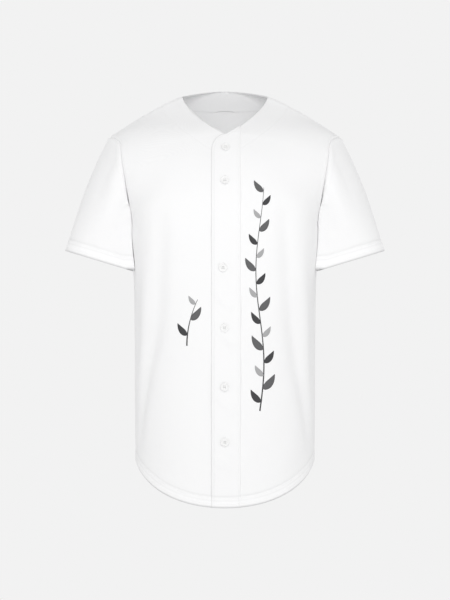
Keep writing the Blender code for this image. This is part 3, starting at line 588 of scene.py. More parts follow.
def join_seams(front, back, sleeve, lower_rows):
    """Give the two sides of each seam the same directions, so that the panels meet without a gap."""
    side = unit(front.normals[:lower_rows + 1, -1] + back.normals[:lower_rows + 1, -1])
    side[:, 1] = 0.0
    edge = (front.points[:lower_rows + 1, -1] + back.points[:lower_rows + 1, -1]) / 2
    for panel in (front, back):
        panel.points[:lower_rows + 1, -1] = edge
        panel.normals[:lower_rows + 1, -1] = unit(side)
    top = unit(front.normals[-1] + back.normals[-1])
    front.normals[-1] = back.normals[-1] = top
    ring = sleeve.normals[0]
    tip = len(front.points) - 1 - lower_rows
    back_rows = [0] + list(range(len(ring) - 1, tip - 1, -1))
    body = np.zeros_like(ring)
    body[:tip + 1] = front.normals[lower_rows:, -1]
    for row, place in enumerate(back_rows):
        body[place] += back.normals[lower_rows + row, -1] * (1.0 if place else 0.5)
    under = np.maximum(0.0, -np.cos(np.radians(ring_angles()))) ** 4
    ring[:] = unit(ring + unit(body) + under[:, None] * np.array((0.0, 0.0, -1.0)))
    front.normals[lower_rows:, -1] = ring[:tip + 1]
    back.normals[lower_rows:, -1] = ring[back_rows]


def shape_body(panel, side_y, folds, lower_rows, sizes, seed):
    """Add a panel's folds, seams, hem, neck edge and unevenness to its heights."""
    points = panel.points
    hem = distance_to(points, points[0])
    side = distance_to(points, points[:lower_rows + 1, -1])
    armhole = distance_to(points, points[lower_rows:, -1])
    shoulder = distance_to(points, points[-1])
    edge = neckline(side_y, np.linspace(0.0, 1.0, 60))
    if side_y < 0:
        edge = np.concatenate([(edge * np.array((-1.0, 1.0, 1.0)))[::-1], edge])
    neck = distance_to(points, edge)
    calm = smooth_step(0.0, 0.022, np.minimum.reduce([side, armhole, shoulder]))
    calm_hem = smooth_step(0.0, 0.030, hem)
    panel.height += fold_heights(points, folds) * calm
    panel.height += sizes.unevenness * ripple(points, 0.085, seed) * calm * calm_hem
    panel.height += 0.00010 * ripple(points, 0.024, seed + 1) * calm
    for distance in (side, shoulder, armhole):
        panel.height += seam_profile(distance, sizes)
    gather = bell(armhole, 0.006, 0.006) * ripple(points * np.array((0.3, 1.0, 1.0)), 0.013, seed + 2)
    panel.height += 0.00025 * gather
    wave = 0.00030 * ripple(points * np.array((1.0, 1.0, 0.1)), 0.022, seed + 3)
    panel.height += hem_profile(hem, sizes.hem_band, sizes) + wave * bell(hem, 0.008, 0.012)
    panel.height += sizes.facing_print * (1.0 - smooth_step(0.0415, 0.0432, neck))
    panel.height += -0.00080 * bell(neck, 0.0, 0.0012) - 0.00022 * bell(neck, NECK_STITCH, 0.0010)
    # Painted shade: along the hem and the neckline, at the facing's line, beside the shoulder seam, and in a
    # faint band round the neck
    panel.painted_shade = hem_painted_shade(hem, sizes.hem_band) + 0.30 * bell(neck, 0.0, 0.0014)
    panel.painted_shade += 0.16 * bell(neck, FACING_LINE, 0.0013) + 0.10 * bell(shoulder, 0.0012, 0.0024)
    panel.painted_shade += 0.08 * (1.0 - smooth_step(0.0, FACING_LINE, neck))
    panel.double = layers_of(hem, sizes.hem_band)


def shape_sleeve(sleeve, sizes):
    """Add the sleeve's armhole seam, cuff hem, underarm seam and unevenness to its heights."""
    points = sleeve.points
    armhole = distance_to(points, np.concatenate([points[0], points[0, :1]]))
    cuff = distance_to(points, np.concatenate([points[-1], points[-1, :1]]))
    under = distance_to(points, points[:, 0])
    calm = smooth_step(0.0, 0.018, armhole) * smooth_step(0.0, 0.024, cuff)
    sleeve.height *= smooth_step(0.0, 0.010, armhole)
    sleeve.height += 0.0009 * ripple(points, 0.070, 31) * calm
    sleeve.height += 0.00010 * ripple(points, 0.024, 32) * calm
    sleeve.height += seam_profile(armhole, sizes)
    rise = 0.0012 * bell(armhole, 0.0065, 0.0042) * np.cos(np.radians(ring_angles()) / 2.0)
    sleeve.height += rise * (1.0 + 0.35 * ripple(points, 0.016, 33))
    sleeve.height += seam_profile(under, sizes) * smooth_step(0.0, 0.004, armhole)
    sleeve.height += hem_profile(cuff, sizes.cuff_band, sizes)
    wave = 0.00030 * ripple(points * np.array((1.0, 1.0, 0.1)), 0.020, 34)
    sleeve.height += wave * bell(cuff, 0.009, 0.012)
    # Painted shade along the cuff's edge, at its stitches and just above it
    sleeve.painted_shade = hem_painted_shade(cuff, sizes.cuff_band)
    sleeve.double = layers_of(cuff, sizes.cuff_band)


def panel_tree(panels, share=1000):
    """A search tree over the outer faces of some panels, from a share of their width outwards."""
    corners, faces = [], []
    for panel in panels:
        points = panel.made()
        rows, columns = points.shape[:2]
        first = len(corners)
        corners += [tuple(point) for point in points.reshape(-1, 3)]
        faces += [
            (first + i * columns + j, first + i * columns + j + 1,
             first + (i + 1) * columns + j + 1, first + (i + 1) * columns + j)
            for i in range(rows - 1) for j in range(columns // share, columns - 1)]
    return BVHTree.FromPolygons(corners, faces)


def lie_against(sleeve, bodies, clear=0.0002, near=0.018):
    """Let the inner side of the sleeve lie against the body: nothing goes in, and what is near comes close."""
    tree = panel_tree(bodies, 2)
    made = sleeve.made()
    angles = ring_angles()
    rows = made.shape[0]
    shift = np.zeros(made.shape)
    for j in np.nonzero(np.abs(angles) > 104.0)[0]:
        inner = float(smooth_step(104.0, 120.0, abs(angles[j])))
        for i in range(2, rows):
            place, face, _, gap = tree.find_nearest(Vector(made[i, j]))
            out = Vector(made[i, j]) - place
            if face.x < 0.0:
                face = -face
            gap = math.copysign(gap, out.dot(face))
            if gap < clear:
                shift[i, j] = np.array(face) * (clear - gap)
            elif gap < near:
                pull = inner * float(smooth_step(0.0, 0.011, np.linalg.norm(made[i, j] - made[0, j])))
                shift[i, j] = -np.array(face) * (gap - clear) * pull * (1.0 - (gap / near) ** 6)
    sleeve.points = sleeve.points + shift


def pucker_heights(points):
    """How far the placket's puckers lift it."""
    height = np.zeros(points.shape[:-1])
    for x, z, half_length, slope, size, width in PUCKERS:
        length = math.hypot(1.0, slope)
        across = points[..., 0] - x
        rise = points[..., 2] - z
        along = (across + rise * slope) / length
        off = (rise - across * slope) / length
        fade = np.maximum(0.0, 1.0 - (along / half_length) ** 2)
        height += size * fade * bell(off, 0.0, width)
    return height


def placket_panel(sizes):
    """The placket: laid on both fronts, rounded at its top, and sewn down along the wearer's left."""
    curves, lower_rows = panel_curves(-1.0)
    keep = curves[:, 0, 0] < PLACKET_SEAM_X - 1e-4
    curves = curves[keep]
    middles = curves[:, 0]
    drop = np.clip((NECK_MIDDLE[-1.0][2] - middles[:, 2]) / PLACKET_ROUND, 0.0, 1.0)
    low = np.where(middles[:, 0] > 1e-6, middles[:, 0], PLACKET_EDGE_X * np.sqrt(1.0 - (1.0 - drop) ** 2))
    places = np.concatenate([[0.0, 0.010, 0.025, 0.045, 0.07], np.linspace(0.10, 0.88, 30),
                             [0.905, 0.93, 0.95, 0.965, 0.978, 0.989, 1.0]])
    points = np.empty((len(curves), len(places), 3))
    for k, (start, curve) in enumerate(zip(low, curves)):
        xs = start + (PLACKET_SEAM_X - start) * places
        t = np.array([parameters_at_x(curve[None], abs(x))[0] for x in xs])
        points[k] = bezier(curve[None], t[None])[0]
        points[k, :, 0] = xs
    panel = Panel(points, normals_of(points, np.array((0.0, -1.0, 0.2))))
    edge = distance_to(points, points[:, 0])
    seam = distance_to(points, points[:, -1])
    hem = distance_to(points, points[0])
    cover = smooth_step(0.0, 0.0035, seam)
    panel.height = -0.0004 + (PLACKET_LIFT + 0.0004) * cover
    panel.height += pucker_heights(points)
    panel.height += sizes.unevenness * 0.25 * ripple(points, 0.050, 41) * cover
    panel.height -= 0.00026 * (bell(edge, EDGE_STITCH, 0.0009) + 0.8 * bell(seam, PLACKET_SEAM_STITCH, 0.0009))
    panel.height -= 0.0010 * bell(edge, 0.0, 0.0009)
    stitches = -0.00030 * (
        bell(hem, sizes.hem_band - HEM_STITCH_INSET, 0.0010) + bell(hem, HEM_EDGE_STITCH, 0.0011))
    panel.height += (stitches - 0.0010 * bell(hem, 0.0, 0.0011)) * cover
    # Painted shade along the hem, the placket's edge, its edge stitches and its seam
    panel.painted_shade = hem_painted_shade(hem, sizes.hem_band) + 0.55 * bell(edge, 0.0, 0.0014)
    panel.painted_shade += 0.12 * bell(edge, EDGE_STITCH, 0.0010) + 0.14 * bell(seam, 0.0004, 0.0014)
    panel.double = layers_of(hem, sizes.hem_band)
    return panel


def facing_panel(back):
    """The left half of the facing inside the back neckline, laid against the back."""
    stations = np.concatenate([
        np.linspace(FACING_STATION, 1.0, 14), 1.0 + spread(0.0, 1.0, 0.034, ((0.0, 0.01), (0.0, 0.012)))[1:]])
    curves = upper_curves(stations, 1.0)
    edge = neckline(1.0, np.linspace(0.0, 1.0, 41))
    places = np.linspace(0.0, 0.6, 121)
    course = bezier(curves, np.broadcast_to(places, (len(curves), len(places))))
    limits = []
    for row in course:
        away = np.linalg.norm(row[:, None] - edge[None], axis=-1).min(axis=1)
        limits.append(places[int(np.argmax(away > FACING_DEPTH))])
    spots = np.concatenate([[0.0, 0.02, 0.05], np.linspace(0.09, 0.93, 24), [0.96, 0.985, 1.0]])
    points = bezier(curves, np.array(limits)[:, None] * spots)
    normals = normals_of(points, np.array((0.2, 1.0, 0.5)))
    normals[np.abs(points[..., 0]) < 1e-6, 0] = 0.0
    normals = unit(normals)
    lower = distance_to(points, np.concatenate([points[0], points[:, -1]]))
    tree = panel_tree((back,))
    for spot in np.ndindex(points.shape[:2]):
        if points[spot][0] > 1e-6:
            points[spot] = tree.find_nearest(Vector(points[spot]))[0]
        else:
            points[spot][1:] = tree.find_nearest(Vector(points[spot]))[0][1:]
    panel = Panel(points, normals)
    panel.height[:] = -FACING_CLEAR
    # Painted shade along the facing's lower edges
    panel.painted_shade = 0.10 * bell(lower, 0.0, 0.0016)
    return panel


Jersey = namedtuple("Jersey", "left right back sleeve placket facing lower_rows")


@functools.lru_cache(maxsize=1)
def jersey():
    """Every panel of the jersey, on the wearer's left where it comes in two."""
    sizes = bpy.context.scene.jersey_sizes
    left, lower_rows = body_panel(-1.0, "left")
    right, _ = body_panel(-1.0, "right")
    back, _ = body_panel(1.0, "back")
    sleeve = sleeve_panel()
    join_seams(left, back, sleeve, lower_rows)
    right.points[:, -1] = left.points[:, -1]
    right.normals[:, -1] = left.normals[:, -1]
    right.normals[-1, -left.points.shape[1]:] = left.normals[-1]
    shape_body(left, -1.0, LEFT_FRONT_FOLDS, lower_rows, sizes, 3)
    shape_body(right, -1.0, RIGHT_FRONT_FOLDS, lower_rows, sizes, 7)
    shape_body(back, 1.0, BACK_FOLDS, lower_rows, sizes, 11)
    shape_sleeve(sleeve, sizes)
    for rows in (np.s_[:lower_rows + 1, -1], np.s_[lower_rows:, -1], np.s_[-1]):
        level = -sizes.seam_depth
        for panel in (left, right, back):
            panel.height[rows] = np.minimum(panel.height[rows], level)
    sleeve.height[0] = -sizes.seam_depth
    lie_against(sleeve, (left, back))
    for panel in (left, right, back):
        panel.height[:, -1] = -sizes.seam_depth
        panel.height[-1] = -sizes.seam_depth
    return Jersey(left, right, back, sleeve, placket_panel(sizes), facing_panel(back), lower_rows)


def lengths_along(points, axis):
    """How far each point of a grid lies from its first row or column, over the cloth."""
    steps = np.linalg.norm(np.diff(points, axis=axis), axis=-1)
    shape = list(points.shape[:2])
    shape[axis] = 1
    return np.concatenate([np.zeros(shape), np.cumsum(steps, axis=axis)], axis=axis)


def cloth_object(name, panels, node, material, wall):
    """A thin shell of cloth on one panel, or on two that meet in the middle."""
    shell = bmesh.new()
    fabric = shell.loops.layers.uv.new("fabric")
    # The painted shade of each point, and where the cloth is double, for the material
    painted_shade_layer = shell.verts.layers.float.new("painted_edge_shade")
    double = shell.verts.layers.float.new("double_cloth")
    for panel in panels:
        points = panel.made()
        painted_shade, twice = panel.painted_shade, panel.double
        if panel.around:
            points, painted_shade, twice = [
                np.concatenate([grid, grid[:, :1]], axis=1) for grid in (points, painted_shade, twice)]
        rows, columns = points.shape[:2]
        u = lengths_along(points, 1)
        v = lengths_along(points, 0)
        u = u - u.mean(axis=1, keepdims=True) if panel.around else u + points[:, :1, 0]
        if points[:, :, 0].mean() < 0.0:
            u = -u
        grid = bmesh.ops.create_grid(shell, x_segments=columns - 1, y_segments=rows - 1, size=1.0)
        places = {}
        for vert in grid["verts"]:
            j = int(round((vert.co.x + 1.0) / 2.0 * (columns - 1)))
            i = int(round((vert.co.y + 1.0) / 2.0 * (rows - 1)))
            places[vert] = (i, j)
            vert.co = points[i, j]
            vert[painted_shade_layer] = min(1.0, painted_shade[i, j])
            vert[double] = twice[i, j]
        faces = {face for vert in grid["verts"] for face in vert.link_faces}
        turn_outwards(shell, faces, panel)
        for face in faces:
            for loop in face.loops:
                i, j = places[loop.vert]
                loop[fabric].uv = (u[i, j], v[i, j])
    bmesh.ops.remove_doubles(shell, verts=shell.verts[:], dist=0.00001)
    piece = finish_mesh(name, shell, material)
    layers = piece.modifiers.new("wall", "SOLIDIFY")
    layers.thickness = wall
    layers.offset = -1.0
    layers.use_rim = True
    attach(piece, "root")
    if node:
        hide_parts(node)
    return piece


def turn_outwards(shell, faces, panel):
    """Turn the faces of one panel to the side that it faces."""
    i, j = panel.points.shape[0] // 2, panel.points.shape[1] // 2
    middle = Vector(panel.made()[i, j])
    nearest = min(faces, key=lambda face: (face.verts[0].co - middle).length)
    nearest.normal_update()
    if nearest.normal.dot(Vector(panel.normals[i, j])) < 0.0:
        bmesh.ops.reverse_faces(shell, faces=list(faces))


def finish_mesh(name, shell, material, smooth=True):
    """Turn a bmesh into a piece with one material."""
    mesh = bpy.data.meshes.new(name)
    shell.to_mesh(mesh)
    shell.free()
    piece = bpy.data.objects.new(name, mesh)
    scene_place().objects.link(piece)
    piece.data.materials.append(material)
    if smooth:
        piece.data.shade_smooth()
    return piece


def new_material(name, colour, roughness):
    """A material with a Principled shader, its node tree and that shader."""
    material = bpy.data.materials.new(name)
    material.use_nodes = True
    tree = material.node_tree
    shader = tree.nodes["Principled BSDF"]
    shader.inputs["Base Color"].default_value = (*colour, 1.0)
    shader.inputs["Roughness"].default_value = roughness
    return material, tree, shader


def add_node(tree, kind, values=(), **settings):
    """A shader node with its settings and its constant inputs."""
    node = tree.nodes.new(f"ShaderNode{kind}")
    for name, value in settings.items():
        setattr(node, name, value)
    for name, value in dict(values).items():
        node.inputs[name].default_value = value
    return node


def tinted(colour, share=1.0):
    """A colour made darker by a share, as a shader takes it."""
    return (*[c * share for c in colour], 1.0)


def knit_material(name, colour, pitch=0.0016, depth=0.00010, edge=0.46):
    """Matt knitted polyester: small staggered dimples, a faint fuzz, and painted shade at hems, seams, stitches
    and edges, as strong as edge says.
    """
    if name in bpy.data.materials:
        return bpy.data.materials[name]
    material, tree, shader = new_material(name, colour, 0.86)
    shader.inputs["Specular IOR Level"].default_value = 0.25
    shader.inputs["Sheen Weight"].default_value = 0.18
    shader.inputs["Sheen Roughness"].default_value = 0.45
    place = add_node(tree, "UVMap", uv_map="fabric")
    scale = (1.0 / pitch, 1.0 / pitch, 1.0)
    turn = add_node(tree, "Mapping", {"Rotation": (0.0, 0.0, math.radians(45.0)), "Scale": scale})
    dimples = add_node(tree, "TexVoronoi", {"Scale": 1.0, "Randomness": 0.06}, voronoi_dimensions="2D")
    bumps = add_node(tree, "ValToRGB")
    bumps.color_ramp.elements[0].position = 0.10
    bumps.color_ramp.elements[1].position = 0.42
    here = add_node(tree, "TexCoord")
    fuzz = add_node(tree, "TexNoise", {"Scale": 900.0, "Detail": 4.0})
    mixed = add_node(tree, "Math", operation="MULTIPLY_ADD")
    mixed.inputs[1].default_value = 0.35
    bump = add_node(tree, "Bump", {"Strength": 0.42, "Distance": depth})
    layers = add_node(tree, "Attribute", attribute_name="double_cloth")
    twice = (*[min(0.96, c * 1.055) for c in colour], 1.0)
    denser = add_node(tree, "Mix", {"A": tinted(colour), "B": twice}, data_type="RGBA")
    # Painted shade in the knit's dimples: their middles are painted a little darker
    tint = add_node(tree, "Mix", {"A": tinted(colour, 0.965)}, data_type="RGBA")
    # Painted shade: the colour is mixed towards a dark grey as far as the panel's painted shade attribute, times
    # edge, says
    painted_shade_layer = add_node(tree, "Attribute", attribute_name="painted_edge_shade")
    amount = add_node(tree, "Math", operation="MULTIPLY")
    amount.inputs[1].default_value = edge
    grey = add_node(tree, "Mix", {"B": tinted(colour, 0.42)}, data_type="RGBA")
    link = tree.links.new
    link(place.outputs["UV"], turn.inputs["Vector"])
    link(turn.outputs["Vector"], dimples.inputs["Vector"])
    link(dimples.outputs["Distance"], bumps.inputs["Fac"])
    link(here.outputs["Object"], fuzz.inputs["Vector"])
    link(fuzz.outputs["Fac"], mixed.inputs[0])
    link(bumps.outputs["Color"], mixed.inputs[2])
    link(mixed.outputs["Value"], bump.inputs["Height"])
    link(bump.outputs["Normal"], shader.inputs["Normal"])
    link(layers.outputs["Fac"], denser.inputs["Factor"])
    link(bumps.outputs["Color"], tint.inputs["Factor"])
    link(denser.outputs["Result"], tint.inputs["B"])
    link(painted_shade_layer.outputs["Fac"], amount.inputs[0])
    link(amount.outputs["Value"], grey.inputs["Factor"])
    link(tint.outputs["Result"], grey.inputs["A"])
    link(grey.outputs["Result"], shader.inputs["Base Color"])
    return material


def plain_material(name, colour, roughness, bump_scale, bump_depth):
    """A plain surface with a little grain: button plastic, thread or printed colour."""
    if name in bpy.data.materials:
        return bpy.data.materials[name]
    material, tree, shader = new_material(name, colour, roughness)
    here = add_node(tree, "TexCoord")
    grain = add_node(tree, "TexNoise", {"Scale": bump_scale, "Detail": 3.0})
    bump = add_node(tree, "Bump", {"Strength": 0.4, "Distance": bump_depth})
    tint = add_node(tree, "Mix", {"A": tinted(colour, 0.92), "B": tinted(colour)}, data_type="RGBA")
    link = tree.links.new
    link(here.outputs["Object"], grain.inputs["Vector"])
    link(grain.outputs["Fac"], bump.inputs["Height"])
    link(grain.outputs["Fac"], tint.inputs["Factor"])
    link(bump.outputs["Normal"], shader.inputs["Normal"])
    link(tint.outputs["Result"], shader.inputs["Base Color"])
    return material


def white_cloth():
    """The body cloth."""
    return knit_material("white_knit", tuple(bpy.context.scene.jersey_colours.cloth))


def facing_cloth():
    """The cloth of the facing."""
    return knit_material("facing_weave", tuple(bpy.context.scene.jersey_colours.facing), 0.0009, 0.00006)


def thread_material():
    """The sewing thread."""
    return plain_material("sewing_thread", tuple(bpy.context.scene.jersey_colours.thread), 0.55, 3000.0, 0.00005)


class Course:
    """A line over a panel, with the direction that the cloth faces at each of its points."""

    def __init__(self, points, normals):
        self.points = points
        self.normals = normals
        steps = np.linalg.norm(np.diff(points, axis=0), axis=-1)
        self.along = np.concatenate([[0.0], np.cumsum(steps)])

    def read(self, distance):
        """The place, the direction of the line and the direction of the cloth at a distance."""
        place = np.array([np.interp(distance, self.along, self.points[:, k]) for k in range(3)])
        facing = unit(np.array([np.interp(distance, self.along, self.normals[:, k]) for k in range(3)]))
        i = int(np.clip(np.searchsorted(self.along, distance) - 1, 0, len(self.along) - 2))
        run = unit(self.points[i + 1] - self.points[i])
        return place, run, facing


def offset_course(panel, edge_line, distance, pick=None):
    """The line on a panel at a distance from one of its edges, found row by row or column by column."""
    made = panel.made()
    away = distance_to(panel.points, edge_line)
    points, normals = [], []
    by_rows = pick == "rows"
    count = made.shape[0] if by_rows else made.shape[1]
    for k in range(count):
        line = made[k] if by_rows else made[:, k]
        faces = panel.normals[k] if by_rows else panel.normals[:, k]
        gap = away[k] if by_rows else away[:, k]
        over = np.nonzero(np.diff(np.sign(gap - distance)))[0]
        if len(over) == 0:
            continue
        i = over[0] if gap[0] < gap[-1] else over[-1]
        share = (distance - gap[i]) / (gap[i + 1] - gap[i])
        points.append(line[i] + (line[i + 1] - line[i]) * share)
        normals.append(unit(faces[i] + (faces[i + 1] - faces[i]) * share))
    return Course(np.array(points), np.array(normals))


def add_stitches(shell, course, length, gap, radius, begin=0.0, end=0.0):
    """Short rounded stitches laid along a line, each a low bead that sinks in at both ends."""
    total = course.along[-1] - begin - end
    count = max(1, int(total / (length + gap)))
    pitch = total / count
    for k in range(count):
        place, run, facing = course.read(begin + pitch * (k + 0.5))
        across = unit(np.cross(facing, run))
        half = (pitch - gap) / 2
        rings = []
        for share in (-1.0, -0.55, 0.55, 1.0):
            wide = radius if abs(share) < 1.0 else radius * 0.45
            lift = radius * 0.55 if abs(share) < 1.0 else -radius * 0.4
            middle = place + run * (half * share) + facing * lift
            rings.append([
                shell.verts.new(middle + across * wide * math.cos(a) + facing * wide * math.sin(a))
                for a in (-0.5, 0.9, 2.25, 3.65)])
        for first, second in zip(rings, rings[1:]):
            for a in range(4):
                b = (a + 1) % 4
                shell.faces.new((first[a], first[b], second[b], second[a]))
        shell.faces.new(rings[0][::-1])
        shell.faces.new(rings[-1])


def mirror_course(course):
    """The same line on the wearer's other side."""
    turn = np.array((-1.0, 1.0, 1.0))
    return Course(course.points * turn, course.normals * turn)


def stitch_piece(name, courses, material, length, gap, radius):
    """One piece that holds all the stitches of some seams."""
    shell = bmesh.new()
    for course in courses:
        add_stitches(shell, course, length, gap, radius)
    bmesh.ops.recalc_face_normals(shell, faces=shell.faces[:])
    piece = finish_mesh(name, shell, material)
    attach(piece, "root")
    return piece


def clear_of(course, test):
    """The points of a line that pass a test."""
    keep = np.array([test(point) for point in course.points])
    return Course(course.points[keep], course.normals[keep])


def stem_width(share, length):
    """Half the width of a printed stem."""
    return 0.0013 * (1.0 - 0.7 * share)


def leaf_width(share, length):
    """Half the width of a printed leaf: pointed at both ends and fullest below its middle."""
    return 0.19 * length * math.sin(math.pi * share ** 0.8) ** 0.85 + 0.00015


def leaves_of(stem):
    """Where the leaves of a stem stand, to which side, and how long they are."""
    made = []
    course = np.linalg.norm(stem[-1] - stem[0])
    count = int(course / 0.0235)
    for k in range(count):
        share = (k + 0.7) / count
        place = np.array([np.interp(share, np.linspace(0.0, 1.0, len(stem)), stem[:, c]) for c in (0, 1)])
        made.append((place, 1 if k % 2 else -1, (0.030, 0.036, 0.026)[k % 3] * (1.0 - 0.25 * share)))
    return made


def leaf_line(place, side, length):
    """The middle line of a leaf, in x and z: it leaves its stem sideways and turns up."""
    share = np.linspace(0.0, 1.0, 17)
    x = place[0] + side * length * (0.80 * share - 0.16 * share ** 2)
    z = place[1] + length * (0.34 * share + 0.42 * share ** 2)
    return np.stack([x, z], axis=-1)


def add_print(shell, tree, line, width, lift):
    """A strip of ink along a line in x and z, laid on the cloth from the front."""
    count = len(line)
    run = unit(np.gradient(line, axis=0))
    length = float(np.linalg.norm(np.diff(line, axis=0), axis=-1).sum())
    grid = bmesh.ops.create_grid(shell, x_segments=4, y_segments=count - 1, size=1.0)
    for vert in grid["verts"]:
        i = int(round((vert.co.y + 1.0) / 2.0 * (count - 1)))
        aside = vert.co.x * width(i / (count - 1), length)
        x, z = line[i] + np.array((-run[i, 1], run[i, 0])) * aside
        place, normal, _, _ = tree.ray_cast(Vector((x, -1.0, z)), Vector((0.0, 1.0, 0.0)))
        if normal.y > 0.0:
            normal = -normal
        vert.co = place + normal * lift
    faces = list({face for vert in grid["verts"] for face in vert.link_faces})
    for face in faces:
        face.normal_update()
    if faces[0].normal.y > 0.0:
        bmesh.ops.reverse_faces(shell, faces=faces)


def length(name, description, default, low, high):
    """A length that a user may change."""
    return bpy.props.FloatProperty(
        name=name, description=description, default=default, min=low, max=high, unit="LENGTH", precision=5)


def paint(name, description, default):
    """A colour that a user may change."""
    return bpy.props.FloatVectorProperty(
        name=name, description=description, default=default, subtype="COLOR", min=0.0, max=1.0)


class JerseySizes(bpy.types.PropertyGroup):
    """Sizes that a user may change."""

    wall: length("Cloth", "Thickness of the knit", 0.0009, 0.0005, 0.0016)
    hem_band: length("Hem", "Depth of the turned hem of the body", 0.0190, 0.010, 0.030)
    cuff_band: length("Sleeve hem", "Depth of the turned hem of a sleeve", 0.0215, 0.010, 0.030)
    hem_rise: length("Hem rise", "How far a turned hem stands proud", 0.00075, 0.0, 0.002)
    seam_depth: length("Seam depth", "How far the cloth rolls in at a seam", 0.0011, 0.0, 0.003)
    facing_print: length("Facing edge", "How far the facing stands through the cloth", 0.0007, 0.0, 0.002)
    unevenness: length("Unevenness", "Height of the soft unevenness of the cloth", 0.0013, 0.0, 0.005)
    stitch: length("Stitch", "Length of one stitch", 0.0026, 0.0015, 0.006)
    thread: length("Thread", "Radius of the sewing thread", 0.00024, 0.0001, 0.0006)


class JerseyColours(bpy.types.PropertyGroup):
    """Colours that a user may change."""

    cloth: paint("Cloth", "Colour of the knit", (0.89, 0.89, 0.893))
    facing: paint("Facing", "Colour of the facing", (0.87, 0.87, 0.875))
    button: paint("Buttons", "Colour of the buttons", (0.90, 0.90, 0.895))
    thread: paint("Thread", "Colour of the sewing thread", (0.88, 0.88, 0.885))
    print_dark: paint("Dark print", "Darkest grey of the print", (0.045, 0.045, 0.048))
    print_middle: paint("Middle print", "Middle grey of the print", (0.115, 0.115, 0.118))
    print_light: paint("Light print", "Lightest grey of the print", (0.40, 0.40, 0.405))
    backdrop: paint("Backdrop", "Colour behind the jersey", (0.888, 0.888, 0.888))


class JERSEY_OT_fronts(bpy.types.Operator):
    """Make the two fronts"""

    bl_idname = "jersey.fronts"
    bl_label = "Fronts"

    def execute(self, context):
        sizes = context.scene.jersey_sizes
        left = cloth_object(
            "left_front_cloth", [jersey().left], "front_left", white_cloth(), sizes.wall)
        right = cloth_object(
            "right_front_cloth", [jersey().right.mirrored()], "front_right", white_cloth(),
            sizes.wall)
        return {"FINISHED"}


class JERSEY_OT_back(bpy.types.Operator):
    """Make the back"""

    bl_idname = "jersey.back"
    bl_label = "Back"

    def execute(self, context):
        panel = jersey().back
        back = cloth_object(
            "back_cloth", [panel, panel.mirrored()], "back", white_cloth(),
            context.scene.jersey_sizes.wall)
        return {"FINISHED"}


class JERSEY_OT_sleeves(bpy.types.Operator):
    """Make the two sleeves"""

    bl_idname = "jersey.sleeves"
    bl_label = "Sleeves"

    def execute(self, context):
        wall = context.scene.jersey_sizes.wall
        for side, panel in (("left", jersey().sleeve), ("right", jersey().sleeve.mirrored())):
            sleeve = cloth_object(
                f"{side}_sleeve_cloth", [panel], f"sleeve_{side}", white_cloth(), wall)
        return {"FINISHED"}


class JERSEY_OT_placket(bpy.types.Operator):
    """Make the button placket"""

    bl_idname = "jersey.placket"
    bl_label = "Placket"

    def execute(self, context):
        placket = cloth_object(
            "placket_cloth", [jersey().placket], "placket", white_cloth(), 0.0011)
        return {"FINISHED"}


class JERSEY_OT_neck_facing(bpy.types.Operator):
    """Make the facing inside the back neck"""

    bl_idname = "jersey.neck_facing"
    bl_label = "Neck facing"

    def execute(self, context):
        panel = jersey().facing
        facing = cloth_object(
            "neck_facing_cloth", [panel, panel.mirrored()], "neck_facing", facing_cloth(),
            0.0006)
        return {"FINISHED"}


class JERSEY_OT_stitching(bpy.types.Operator):
    """Sew the hems, seams and edges"""

    bl_idname = "jersey.stitching"
    bl_label = "Stitching"

    def execute(self, context):
        made = jersey()
        sizes = context.scene.jersey_sizes
        thread = thread_material()
        low = made.lower_rows
        hem, seams, front_edge = [], [], []
        for panel, both in ((made.left, False), (made.right, False), (made.back, True)):
            for distance in (sizes.hem_band - HEM_STITCH_INSET, HEM_EDGE_STITCH):
                course = offset_course(panel, panel.points[0], distance)
                if panel is made.right:
                    course = clear_of(mirror_course(course), lambda p: p[0] < PLACKET_EDGE_X)
                hem.append(course)
                if both:
                    hem.append(mirror_course(course))
            shoulder = offset_course(panel, panel.points[-1], EDGE_STITCH)
            armhole = offset_course(panel, panel.points[low:, -1], EDGE_STITCH, "rows")
            armhole = clear_of(armhole, lambda p: p[2] > ARMPIT_Z)
            if panel is made.right:
                seams += [mirror_course(shoulder), mirror_course(armhole)]
            elif both:
                seams += [armhole, mirror_course(armhole)]
            else:
                seams += [shoulder, armhole]
        cuffs = []
        sleeve = made.sleeve
        ring = np.concatenate([sleeve.points[-1], sleeve.points[-1, :1]])
        for distance in (sizes.cuff_band - HEM_STITCH_INSET, HEM_EDGE_STITCH):
            course = offset_course(sleeve, ring, distance)
            cuffs += [course, mirror_course(course)]
        placket = made.placket
        front_edge.append(offset_course(placket, placket.points[:, 0], EDGE_STITCH, "rows"))
        front_edge.append(offset_course(placket, placket.points[:, -1], PLACKET_SEAM_STITCH, "rows"))
        for distance in (sizes.hem_band - HEM_STITCH_INSET, HEM_EDGE_STITCH):
            front_edge.append(offset_course(placket, placket.points[0], distance))
        named = (("hem", hem), ("seam", seams), ("cuff", cuffs), ("placket", front_edge))
        for name, courses in named:
            stitch_piece(f"{name}_stitches", courses, thread, sizes.stitch, STITCH_GAP, sizes.thread)
        return {"FINISHED"}


